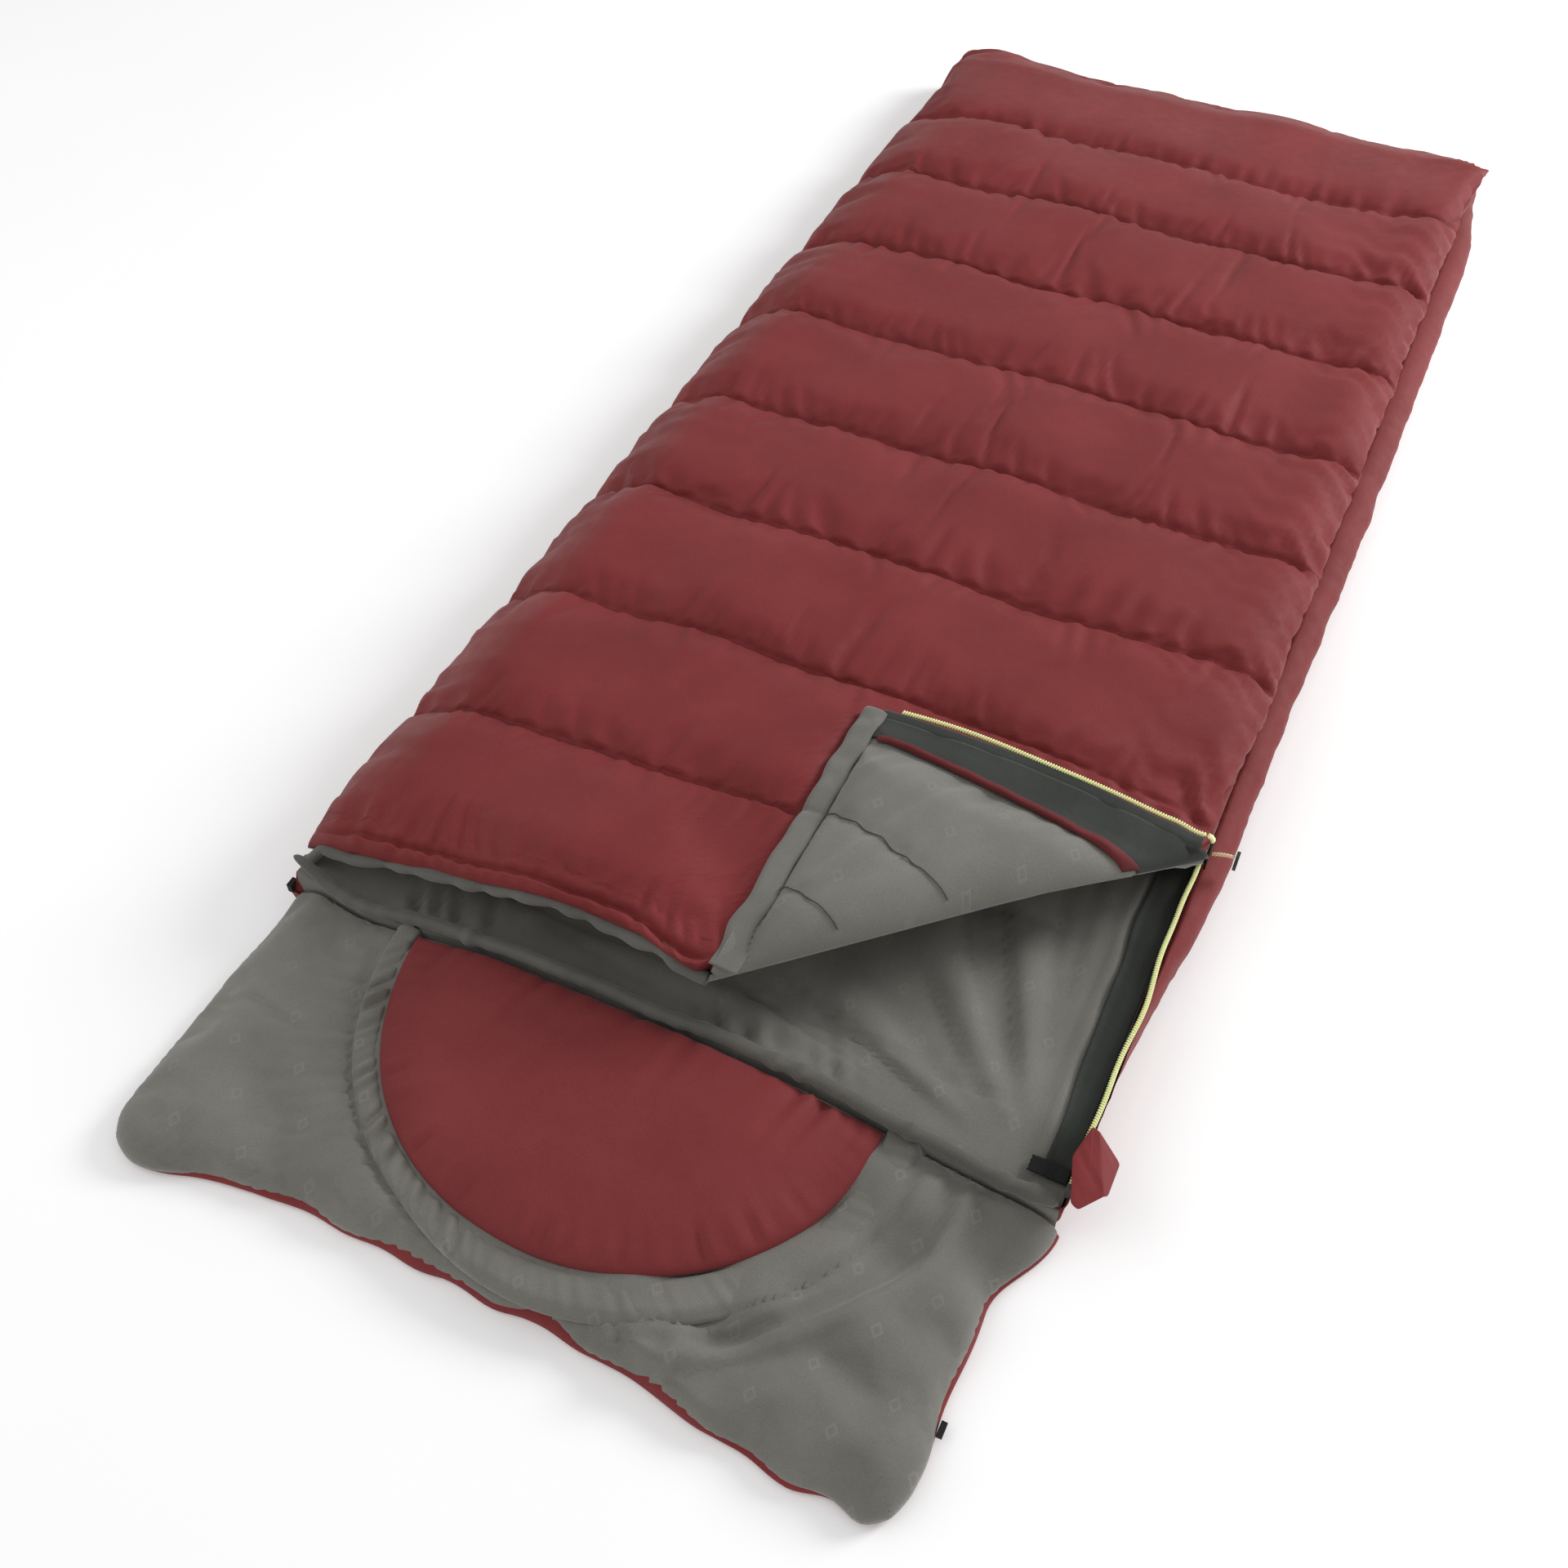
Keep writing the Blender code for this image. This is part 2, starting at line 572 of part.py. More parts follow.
def build_corner():
    leg = COVER_RIGHT - CREASE_HEAD_X
    axis = empty("corner_axis", crease_matrix() @ Matrix.Rotation(-FOLD_ANGLE, 4, "X"),
                 bpy.data.objects["cover_axis"])

    def to_frame(p, s, height):
        """p from the head edge, s from the zip edge, both along the legs of the unfolded corner."""
        x = leg / 2.0 - s
        y = p - leg / 2.0
        return (x + y) / math.sqrt(2.0), -(x - y) / math.sqrt(2.0), height

    def place(share, s):
        """Columns as shares of the row, which runs from the head edge to just short of the crease."""
        return share * (leg - s - CREASE_SETBACK * math.sqrt(2.0)), s

    def loft(p, s):
        past = (leg - s - p) / math.sqrt(2.0)
        edge = 0.25 + 0.75 * min(quarter_round(s / 0.06), quarter_round(p / 0.06))
        return CREASE_LOFT + CORNER_LOFT * quarter_round(past / CORNER_ROUND) * edge

    def sheet(offset):
        return lambda p, s, i, j: -2.0 * GAP - offset

    def liner(offset):
        return lambda p, s, i, j: -2.0 * GAP - loft(p, s) + offset

    shares = [0.0, 0.06, 0.15, 0.45, 0.80, 0.92, 0.98, 1.0]
    rows = [0.0, 0.02, 0.05, 0.09, 0.15, 0.22, 0.30, CORNER_END]
    inset = FABRIC + GAP
    made = dict(place=place, parent=axis, to_frame=to_frame)
    layer("corner_shell", shares, rows, sheet(0.0), sheet(FABRIC), MAROON, roughness=0.62, **made)
    layer("corner_fill", shares, rows, sheet(inset), liner(inset), WHITE, roughness=0.95, **made)
    layer("corner_liner", shares, rows, liner(FABRIC), liner(0.0), GREY, roughness=0.85, **made)
    layer("corner_zip_guard", shares[1:-1], rows[:3], liner(-GAP), liner(-GAP - 0.0015), BLACK, **made)

    def flat(height):
        return lambda p, s, i, j: height

    edge_z = -0.0075
    run = (0.012, leg - 0.016)
    layer("corner_zip_tape", run, (-0.0115, -GAP), flat(edge_z), flat(edge_z - TAPE_THICK), BLACK,
          parent=axis, to_frame=to_frame)
    coil_s = -0.0115 - GAP - COIL_RADIUS
    tube("corner_zip_coil", [to_frame(p, coil_s, edge_z - TAPE_THICK / 2.0) for p in run], COIL_RADIUS, LIME,
         0.45, axis, 1)
    hem_radius = 0.0075
    hem = [to_frame(-hem_radius - 2.0 * GAP, s, -hem_radius - 2.0 * GAP) for s in (0.0, CORNER_END)]
    tube("corner_hem", hem, hem_radius, GREY, parent=axis)
    strip_z = -CREASE_LOFT - CORNER_LOFT - 0.0055
    strip = [to_frame(p, 0.062, strip_z) for p in (0.03, 0.265)]
    tube("corner_baffle", strip, 0.0035, MAROON, 0.7, axis, 1)


def build_slider():
    axis = empty("slider_axis", Matrix.Translation((ZIP_X, SLIDER_Y, (BASE_COIL_Z + COVER_COIL_Z) / 2.0)))
    plate_in = 0.0048
    plate_out = 0.0068
    tall = 0.0105
    web = 0.0004
    half = [(plate_in, web), (plate_in, tall), (plate_out, tall)]
    right = half + [(x, -z) for x, z in reversed(half)]
    outline = right + [(-x, -z) for x, z in right]
    upright = Matrix.Rotation(math.pi / 2.0, 4, "X")
    outline_slab("zip_slider", outline, SLIDER_LENGTH, upright, BLACK, 0.4, axis)

    pull = empty("pull_axis", axis.matrix_world @ Matrix.Translation((plate_out + 0.0028, 0.0, 0.0)), axis)
    cord = [(0.0, 0.0, 0.0), (0.008, 0.0, 0.004), (0.016, 0.0, 0.0065), (0.021, 0.0, 0.0065)]
    tube("pull_cord", cord, 0.0021, CREAM, 0.75, pull)
    grip = [(-0.0030, 0.008), (0.0030, 0.008), (0.0042, -0.014), (0.0, -0.020), (-0.0042, -0.014)]
    facing = Matrix.Translation((0.0235, 0.0, 0.0065)) @ Matrix.Rotation(math.pi / 2.0, 4, "Z")
    outline_slab("pull_grip", grip, 0.0034, facing @ Matrix.Rotation(math.pi / 2.0, 4, "X"), BLACK, 0.5, pull)


def build_tab():
    """Fabric tab over the head end of the zip, lying outwards at rest."""
    axis = empty("tab_axis", Matrix.Translation((ZIP_X + 0.010, NECK_Y + 0.048, 0.077)))
    long = 0.041
    wide = 0.046
    root = 0.012
    leaf = [(0.0, 0.45 * long), (0.0, -0.6 * long)]
    for step in range(9):
        angle = math.pi * (step / 8.0 - 0.5)
        leaf.append((root + (wide - root) * math.cos(angle), long * math.sin(angle)))
    droop = Matrix.Rotation(math.radians(31.0), 4, "Y")
    outline_slab("zip_tab", leaf, 0.003, droop, MAROON, 0.65, axis)


def main():
    for old in list(bpy.data.objects):
        bpy.data.objects.remove(old, do_unlink=True)
    bag = bpy.data.collections.new("sleeping_bag")
    bpy.context.scene.collection.children.link(bag)
    build_base()
    build_hood()
    build_cover()
    bpy.context.view_layer.update()
    build_corner()
    build_slider()
    build_tab()
    bpy.context.view_layer.update()


main()
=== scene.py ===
import bmesh
import bpy
import numpy as np
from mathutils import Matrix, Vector


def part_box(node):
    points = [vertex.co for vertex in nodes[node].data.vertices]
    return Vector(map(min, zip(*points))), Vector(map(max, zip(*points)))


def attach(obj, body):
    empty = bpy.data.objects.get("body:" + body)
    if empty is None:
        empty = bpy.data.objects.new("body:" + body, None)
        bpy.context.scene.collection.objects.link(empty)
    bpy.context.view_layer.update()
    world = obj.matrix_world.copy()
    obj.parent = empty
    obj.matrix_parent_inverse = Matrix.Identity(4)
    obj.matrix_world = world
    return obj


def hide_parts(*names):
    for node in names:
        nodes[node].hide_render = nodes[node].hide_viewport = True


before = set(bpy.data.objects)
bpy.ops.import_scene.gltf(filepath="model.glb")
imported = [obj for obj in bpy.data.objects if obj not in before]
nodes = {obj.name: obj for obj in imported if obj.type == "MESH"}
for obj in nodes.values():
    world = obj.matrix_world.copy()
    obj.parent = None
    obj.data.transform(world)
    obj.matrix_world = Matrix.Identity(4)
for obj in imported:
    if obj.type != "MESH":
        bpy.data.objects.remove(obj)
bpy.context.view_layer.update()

print("frame loaded,", len(nodes), "nodes")

# shared shape helpers

def ease(t):
    # cubic from 0 to 1
    t = np.clip(t, 0.0, 1.0)
    return t * t * (3.0 - 2.0 * t)


def fall(t):
    # cubic from 1 to 0
    return 1 - ease(t)


def bell(t):
    # 1 at 0, falling off on both sides like a normal curve
    return np.exp(-t ** 2)


def joined(*parts):
    # arrays of one shape side by side on a new last axis
    return np.stack(parts, -1)


def quarter(t):
    # quarter circle, steep at 0 and flat at 1
    t = np.clip(t, 0.0, 1.0)
    return np.sqrt(1.0 - (1.0 - t) ** 2)


def arc(t):
    # half circle: 1 at 0, 0 at both ends
    return np.sqrt(np.maximum(0, 1 - t ** 2))


def ripple(s, seed, wave, count=7):
    # sum of sines of s, wavelengths spread round wave, height about 1
    rng = np.random.default_rng(seed)
    size, phase = wave * (0.6 + 0.9 * rng.random(count)), 2 * np.pi * rng.random(count)
    return sum(np.sin(2 * np.pi * s / w + p) for w, p in zip(size, phase)) / np.sqrt(count)


def drift(x, y, seed, wave, count=9):
    # slow uneven field: plane waves in many directions, height about 1
    rng = np.random.default_rng(seed)
    turn, phase = np.pi * rng.random(count), 2 * np.pi * rng.random(count)
    size = wave * (0.6 + 0.9 * rng.random(count))
    waves = (np.sin(2 * np.pi * (x * np.cos(a) + y * np.sin(a)) / w + p)
             for a, w, p in zip(turn, size, phase))
    return sum(waves) / np.sqrt(count)


def joinSteps(stops, counts, crowd=0.0):
    # steps from stop to stop, each stop once, crowded towards the stops by crowd
    runs = []
    for low, high, count in zip(stops[:-1], stops[1:], counts):
        t = np.linspace(0, 1, count, endpoint=False)
        runs.append(low + (high - low) * (t - crowd * np.sin(2 * np.pi * t) / (2 * np.pi)))
    return np.concatenate(runs + [[stops[-1]]])


def edgeSteps(low, high, lowRound, highRound, n, middle):
    # steps that crowd into both rounded edges, even in the angle of the round
    turn = np.linspace(0.0, np.pi / 2, n, endpoint=False)
    start = low + lowRound * (1 - np.cos(turn))
    end = high - highRound * (1 - np.cos(turn))
    return np.concatenate([start, np.linspace(low + lowRound, high - highRound, middle), end[::-1]])


# mesh helpers

def quadsOf(rows, columns, first=0, flip=False, wrap=False):
    # index quads of a grid stored row by row
    i = np.arange(rows if wrap else rows - 1)[:, None]
    j = np.arange(columns - 1)[None, :]
    k = (i + 1) % rows
    a, b, c, d = i * columns + j, k * columns + j, k * columns + j + 1, i * columns + j + 1
    quads = joined(a, b, c, d).reshape(-1, 4) + first
    return quads[:, ::-1] if flip else quads


footFlat = dict(shrink=0.28, start=0.985, length=0.09, left=-0.42, leftFade=0.12)


def footSink(points):
    # the foot end lies flatter, all but its left corner: heights shrink towards it
    points = np.array(points, float).reshape(-1, 3)
    sunk = ease((points[:, 1] - footFlat["start"]) / footFlat["length"])
    inward = ease((points[:, 0] - footFlat["left"]) / footFlat["leftFade"])
    points[:, 2] *= 1 - footFlat["shrink"] * sunk * inward
    return points


neckLift = dict(y=-0.797, reach=0.10, up=0.024, back=0.011, leftShare=0.85, ground=0.035)


def neckArch(points):
    # the neck seam rides up over the pillow's edge and at its left end, fading towards head and foot
    x, y, z = points[..., 0], points[..., 1], points[..., 2]
    middle = ease((x + 0.42) / 0.26) * fall((x - 0.10) / 0.28)
    leftEnd = neckLift["leftShare"] * fall((x + 0.43) / 0.11)
    near = (middle + leftEnd) * fall(np.abs(y - neckLift["y"]) / neckLift["reach"])
    near = near * np.clip(z / neckLift["ground"], 0, 1)  # the underside stays on the ground
    return joined(x, y + neckLift["back"] * near, z + neckLift["up"] * near)


def placed(name, data):
    # new object on the given data, in the scene and at the origin
    piece = bpy.data.objects.new(name, data)
    bpy.context.scene.collection.objects.link(piece)
    return piece


def makePiece(name, points, quads, material):
    # one mesh object at the origin: doubles merged, faces out
    data = bpy.data.meshes.new(name)
    points = footSink(points).astype(np.float32)
    quads = np.asarray(quads, np.int32)
    data.vertices.add(len(points))
    data.vertices.foreach_set("co", points.ravel())
    data.loops.add(quads.size)
    data.loops.foreach_set("vertex_index", quads.ravel())
    data.polygons.add(len(quads))
    data.polygons.foreach_set("loop_start", np.arange(0, quads.size, 4, dtype=np.int32))
    data.update(calc_edges=True)
    shape = bmesh.new()
    shape.from_mesh(data)
    bmesh.ops.remove_doubles(shape, verts=shape.verts[:], dist=2e-6)
    bmesh.ops.dissolve_degenerate(shape, dist=1e-6, edges=shape.edges[:])
    bmesh.ops.recalc_face_normals(shape, faces=shape.faces[:])
    for face in shape.faces:
        face.smooth = True
    shape.to_mesh(data)
    shape.free()
    data.materials.append(material)
    return placed(name, data)


def closedPad(name, top, bottom, material):
    # two grids with the same outline, joined round the rim
    rows, columns = top.shape[:2]
    count = rows * columns
    index = np.arange(count).reshape(rows, columns)
    rim = np.concatenate([index[:-1, 0], index[-1, :-1], index[:0:-1, -1], index[0, :0:-1]])
    after = np.roll(rim, -1)
    wall = joined(rim, after, after + count, rim + count)
    quads = np.concatenate([quadsOf(rows, columns), quadsOf(rows, columns, count, True), wall])
    return makePiece(name, np.concatenate([top.reshape(-1, 3), bottom.reshape(-1, 3)]), quads, material)


def unit(vectors):
    # vectors of length 1
    return vectors / np.maximum(np.linalg.norm(vectors, axis=-1, keepdims=True), 1e-12)


def thinSheet(name, top, thickness, material):
    # grid with a thickness along its own normals
    normal = unit(np.cross(np.gradient(top, axis=0), np.gradient(top, axis=1)))
    return closedPad(name, top, top - normal * thickness, material)


def frames(path):
    # tangent, side and up of a polyline, side kept level
    tangent = unit(np.gradient(path, axis=0))
    side = unit(np.cross(tangent, [0.0, 0.0, 1.0]))
    return tangent, side, np.cross(side, tangent)


def sweep(name, path, profile, material):
    # profile (n, 2) or (m, n, 2) in side and up carried along the path, ends closed to a point
    profile = np.broadcast_to(profile, (len(path),) + np.shape(profile)[-2:])
    _, side, up = frames(path)
    ring = path[:, None] + side[:, None] * profile[..., :1] + up[:, None] * profile[..., 1:]
    caps = [np.repeat(ring[k].mean(0)[None, None], ring.shape[1], 1) for k in (0, -1)]
    ring = np.concatenate([caps[0], ring, caps[1]])
    turned = ring.transpose(1, 0, 2)
    return makePiece(name, turned, quadsOf(turned.shape[0], turned.shape[1], wrap=True), material)


def ellipse(width, height, count=16):
    # closed ring of half axes width and height
    turn = np.linspace(0, 2 * np.pi, count, endpoint=False)
    return joined(width * np.cos(turn), height * np.sin(turn))


def lengthAlong(points):
    # distance of each point from the first, summed along the polyline
    return np.concatenate([[0], np.cumsum(np.linalg.norm(np.diff(points, axis=0), axis=1))])


def alongLine(points, step):
    # polyline resampled to even steps
    points = np.asarray(points, float)
    run = lengthAlong(points)
    at = np.linspace(0, run[-1], max(2, int(run[-1] / step)))
    return np.stack([np.interp(at, run, points[:, k]) for k in range(3)], -1)


def settle(points, held, pressure, spare, frameCount, cap, stiffness=12.0, bending=0.08):
    # cloth run on one grid: held points stay, the rest swells and creases
    rows, columns = points.shape[:2]
    data = bpy.data.meshes.new("settling")
    data.from_pydata(points.reshape(-1, 3).tolist(), [], quadsOf(rows, columns).tolist())
    work = placed("settling", data)
    group = work.vertex_groups.new(name="held")
    level = np.round(held.ravel() * 10).astype(int)
    for step in range(1, 11):
        group.add(np.flatnonzero(level == step).tolist(), step / 10, "REPLACE")
    cloth = work.modifiers.new("cloth", "CLOTH")
    setup = dict(quality=5, mass=0.15, tension_stiffness=stiffness, compression_stiffness=stiffness,
                 shear_stiffness=stiffness * 0.4, bending_stiffness=bending, air_damping=3.0,
                 use_pressure=pressure > 0.0, uniform_pressure_force=pressure, shrink_min=-spare,
                 vertex_group_mass="held")
    for key, value in setup.items():
        setattr(cloth.settings, key, value)
    cloth.settings.effector_weights.gravity = 0.0
    cloth.collision_settings.use_collision = False
    cloth.point_cache.frame_start = 1
    cloth.point_cache.frame_end = frameCount
    for step in range(1, frameCount + 1):
        bpy.context.scene.frame_set(step)
    seen = work.evaluated_get(bpy.context.evaluated_depsgraph_get())
    moved = np.zeros(rows * columns * 3, np.float32)
    seen.data.vertices.foreach_get("co", moved)
    bpy.data.objects.remove(work)
    bpy.data.meshes.remove(data)
    bpy.context.scene.frame_set(1)
    move = moved.reshape(points.shape) - points
    size = np.linalg.norm(move, axis=-1, keepdims=True)
    return points + move * np.minimum(1.0, cap / np.maximum(size, 1e-9))


# finishes

def linear(r, g, b):
    # screen colour from 0 to 255 as a linear colour
    values = np.array([r, g, b]) / 255.0
    return (*np.where(values <= 0.04045, values / 12.92, ((values + 0.055) / 1.055) ** 2.4), 1.0)


class Finish:
    # small helper round one material's node tree
    def __init__(self, name):
        self.material = bpy.data.materials.new(name)
        self.material.use_nodes = True
        self.tree = self.material.node_tree
        self.shader = self.tree.nodes["Principled BSDF"]
        self.place = self.add("ShaderNodeTexCoord").outputs["Object"]

    def feed(self, socket, value):
        # link an output, or set a plain value
        if isinstance(value, bpy.types.NodeSocket):
            self.tree.links.new(value, socket)
        else:
            socket.default_value = value

    def add(self, kind, inputs=None, **settings):
        # new node with its settings and inputs
        node = self.tree.nodes.new(kind)
        for key, value in settings.items():
            setattr(node, key, value)
        for key, value in (inputs or {}).items():
            self.feed(node.inputs[key], value)
        return node

    def surface(self, inputs):
        # values of the surface by socket name
        for key, value in inputs.items():
            self.feed(self.shader.inputs[key], value)

    def noise(self, scale, detail=3.0, rough=0.55):
        # cloudy noise in the object's own space
        inputs = {"Scale": scale, "Detail": detail, "Roughness": rough, "Vector": self.place}
        return self.add("ShaderNodeTexNoise", inputs).outputs["Fac"]

    def math(self, kind, a, b):
        # a and b through one arithmetic node
        return self.add("ShaderNodeMath", {0: a, 1: b}, operation=kind).outputs[0]

    def spread(self, value, low, high, fromLow=0.3, fromHigh=0.7):
        # value stretched from its usual range to low and high
        inputs = {"From Min": fromLow, "From Max": fromHigh, "To Min": low, "To Max": high, "Value": value}
        return self.add("ShaderNodeMapRange", inputs).outputs[0]

    def mix(self, share, a, b, blend="MIX"):
        # colour a with a share of b
        inputs = {0: share, 6: a, 7: b}
        return self.add("ShaderNodeMix", inputs, data_type="RGBA", blend_type=blend).outputs[2]

    def weave(self, size):
        # over-under weave: bands across times bands along
        inputs = {"Scale": 0.314 / size, "Distortion": 0.6, "Detail": 1.0, "Vector": self.place}
        bands = [self.add("ShaderNodeTexWave", inputs, bands_direction=way).outputs["Fac"] for way in "XY"]
        return self.math("MULTIPLY", *bands)

    def bump(self, height, strength, distance):
        # height field on the surface
        inputs = {"Strength": strength, "Distance": distance, "Height": height}
        self.surface({"Normal": self.add("ShaderNodeBump", inputs).outputs[0]})


def clothFinish(name, light, dark, weaveSize, roughness, sheen, marks=None):
    # woven cloth: cloudy mix of two shades, fine flecks, bump from weave and fibre
    made, light, dark = Finish(name), linear(*light), linear(*dark)
    cloudy = made.spread(made.noise(9.0, 4.0), 0.0, 1.0)
    colour = made.mix(cloudy, dark, light)
    fleck = made.spread(made.noise(900.0, 2.0, 0.7), 0.86, 1.1)
    colour = made.mix(1.0, colour, fleck, "MULTIPLY")
    if marks:
        colour = made.mix(marks(made), colour, tuple(1.22 * c for c in light[:3]) + (1.0,))
    dull = made.spread(made.noise(60.0), roughness - 0.06, roughness + 0.06)
    made.surface({"Base Color": colour, "Roughness": dull, "Sheen Weight": sheen, "Sheen Roughness": 0.45,
                  "Specular IOR Level": 0.20})
    height = made.math("ADD", made.weave(weaveSize), made.math("MULTIPLY", made.noise(260.0), 1.4))
    made.bump(height, 0.35, 0.0005)
    return made.material


def plainFinish(name, light, dark, grain, roughness, metallic=0.0, depth=0.0003):
    # moulded or painted surface: two shades, uneven gloss and a fine grain
    made = Finish(name)
    colour = made.mix(made.spread(made.noise(grain), 0.0, 1.0), linear(*dark), linear(*light))
    dull = made.spread(made.noise(grain * 3), roughness - 0.08, roughness + 0.08)
    made.surface({"Base Color": colour, "Roughness": dull, "Metallic": metallic})
    made.bump(made.noise(grain * 2), 0.25, depth)
    return made.material


def diamonds(made):
    # faint lattice of small open diamonds
    split = made.add("ShaderNodeSeparateXYZ", {0: made.place})
    across = made.math("DIVIDE", split.outputs[0], 0.074)
    along = made.math("DIVIDE", split.outputs[1], 0.092)
    sides = []
    for kind in ("ADD", "SUBTRACT"):
        cell = made.math("FRACT", made.math(kind, across, along), 0)
        sides.append(made.math("ABSOLUTE", made.math("SUBTRACT", cell, 0.5), 0))
    reach = made.math("MAXIMUM", sides[0], sides[1])
    within, beyond = made.math("LESS_THAN", reach, 0.085), made.math("GREATER_THAN", reach, 0.045)
    return made.math("MULTIPLY", made.math("MULTIPLY", within, beyond), 0.34)


shellCloth = clothFinish("maroonShell", (130, 48, 49), (117, 40, 41), 0.0011, 0.58, 0.04)
tubeCloth = clothFinish("maroonTube", (106, 40, 42), (94, 34, 36), 0.0011, 0.66, 0.04)
pillowCloth = clothFinish("maroonPillow", (132, 53, 54), (119, 45, 47), 0.0011, 0.66, 0.06)
linerCloth = clothFinish("greyLiner", (124, 122, 115), (111, 109, 103), 0.0014, 0.82, 0.3, diamonds)
hemCloth = clothFinish("greyHem", (118, 116, 110), (104, 103, 97), 0.0014, 0.82, 0.3)
# darker copy of the grey liner cloth for the mouth binding and neck roll: painted shade, as both sit in
# shadow
shadedGreyCloth = clothFinish("greyRollPaintedShade", (102, 101, 95), (88, 87, 82), 0.0014, 0.82, 0.3)
threadCloth = clothFinish("greyThread", (76, 75, 70), (62, 61, 57), 0.0014, 0.82, 0.3)
tapeCloth = clothFinish("blackTape", (54, 57, 53), (43, 45, 42), 0.0016, 0.75, 0.15)
webCloth = clothFinish("blackWebbing", (34, 35, 35), (24, 25, 25), 0.0022, 0.7, 0.1)
coilPlastic = plainFinish("limeCoil", (255, 255, 206), (246, 252, 172), 400.0, 0.42)
blackPlastic = plainFinish("blackPlastic", (36, 37, 37), (24, 25, 25), 300.0, 0.45)
sliderPaint = plainFinish("blackLacquer", (40, 41, 42), (26, 27, 28), 300.0, 0.35, 0.6)
creamCord = clothFinish("creamCord", (250, 224, 186), (228, 196, 150), 0.0012, 0.7, 0.2)
print("finishes made")


def settled(piece, body, slot, *replaced):
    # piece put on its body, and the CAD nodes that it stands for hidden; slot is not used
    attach(piece, body)
    if replaced:
        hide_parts(*replaced)
    return piece


clothThick = 0.0012

# upper quilt
cover = dict(left=-0.4255, right=0.405, mouth=-0.7735, foot=1.080, hingeZ=0.0668, edgeZ=0.0935, lift=0.100,
             headLift=0.036, sag=0.010, footSag=0.012, liftStart=-0.25, ramp=0.50, crown=0.044,
             seamLoft=0.031, rollLoft=0.031, pitch=0.198, footThin=0.55, footLength=0.35, creaseX=0.045,
             creaseHeadZ=0.163, creaseZipZ=0.139, creaseBlend=0.22, leg=0.36, droop=0.021, shellInset=0.011,
             mouthArch=0.018, archX=-0.13, archWidth=0.13, mouthBack=0.012, stitchLine=0.0118,
             leftRound=0.085, rightRound=0.055, footBend=0.07)
cover["seams"] = cover["pitch"] * np.arange(8) - 0.573
cover["zipCorner"] = cover["mouth"] + cover["leg"]


def headShare(y):
    # 0 where the quilt lies flat, 1 at the mouth
    return np.clip((cover["liftStart"] - y) / (cover["liftStart"] - cover["mouth"]), 0, 1) ** 1.15


def creaseHeight(along):
    # straight from the mouth to the zip, sinking over the last stretch
    slope = (cover["creaseZipZ"] - cover["creaseHeadZ"]) / cover["leg"]
    return cover["creaseHeadZ"] + slope * along - cover["droop"] * ease((along - 0.20) / 0.17)


def creaseSide(x, y):
    # distance past the crease on the quilt, and the crease's height there
    past = (cover["creaseX"] - cover["mouth"] - (x - y)) / np.sqrt(2)
    return past, creaseHeight(((x - cover["creaseX"]) + (y - cover["mouth"])) / 2)


def coverSheet(x, y):
    # inner face before the corner is turned back: lifts to the mouth, falls to the edges
    head = headShare(y)
    lift = cover["lift"] + cover["headLift"] * head - cover["sag"] * ease((y + 0.35) / 0.7)
    lift = lift - cover["footSag"] * ease((y - 0.55) / 0.40)
    inside = ease((cover["right"] - x) / 0.09) * ease((cover["foot"] - y) / 0.10)
    height = cover["edgeZ"] + (lift - cover["edgeZ"]) * inside
    ramp = np.sin(np.pi / 2 * np.clip((x - cover["left"]) / cover["ramp"], 0, 1))
    rise = (1 - head) * ease((x - cover["left"]) / 0.10) + head * ramp
    arch = cover["mouthArch"] * bell((x - cover["archX"]) / cover["archWidth"])
    arch = arch * fall((y - cover["mouth"]) / 0.18)
    return cover["hingeZ"] + (height - cover["hingeZ"]) * rise + arch


def mouthDraw(x, y):
    # the mouth's edge is drawn back towards the foot, all but its end at the crease
    return cover["mouthBack"] * fall((y - cover["mouth"]) / 0.16) * fall((x + 0.05) / 0.08)


def channel(y, stops):
    # 0 on a quilting line, 1 in the middle of a channel, flat with round shoulders
    stops = np.asarray(stops)
    k = np.clip(np.searchsorted(stops, y, side="right") - 1, 0, len(stops) - 2)
    t = np.clip((y - stops[k]) / (stops[k + 1] - stops[k]), 0, 1)
    return (1 - np.abs(2 * t - 1) ** 3.4) ** 0.55


def seamPuckers(x, y, seams, seed, wave, depth, reach):
    # small folds that leave each quilting line at right angles, in clusters, and die out
    total = np.zeros(np.broadcast(x, y).shape)
    for number, line in enumerate(seams):
        cluster = 0.35 + 0.65 * ease(0.5 + 0.6 * ripple(x, seed + 500 + number, 0.22, 4))
        for side in (-1, 1):
            away = (y - line) * side
            fade = np.exp(-np.abs(away) / reach) * (away >= 0) * ease(np.abs(away) / 0.010)
            bend = x + 0.35 * away * ripple(x, seed + 900 + number, 0.2, 3)
            total = total + fade * cluster * ripple(bend, seed + 2 * number + (side > 0), wave)
    return depth * total


coverStops = np.concatenate([[cover["mouth"] - 0.004], cover["seams"], [cover["foot"] + 0.03]])


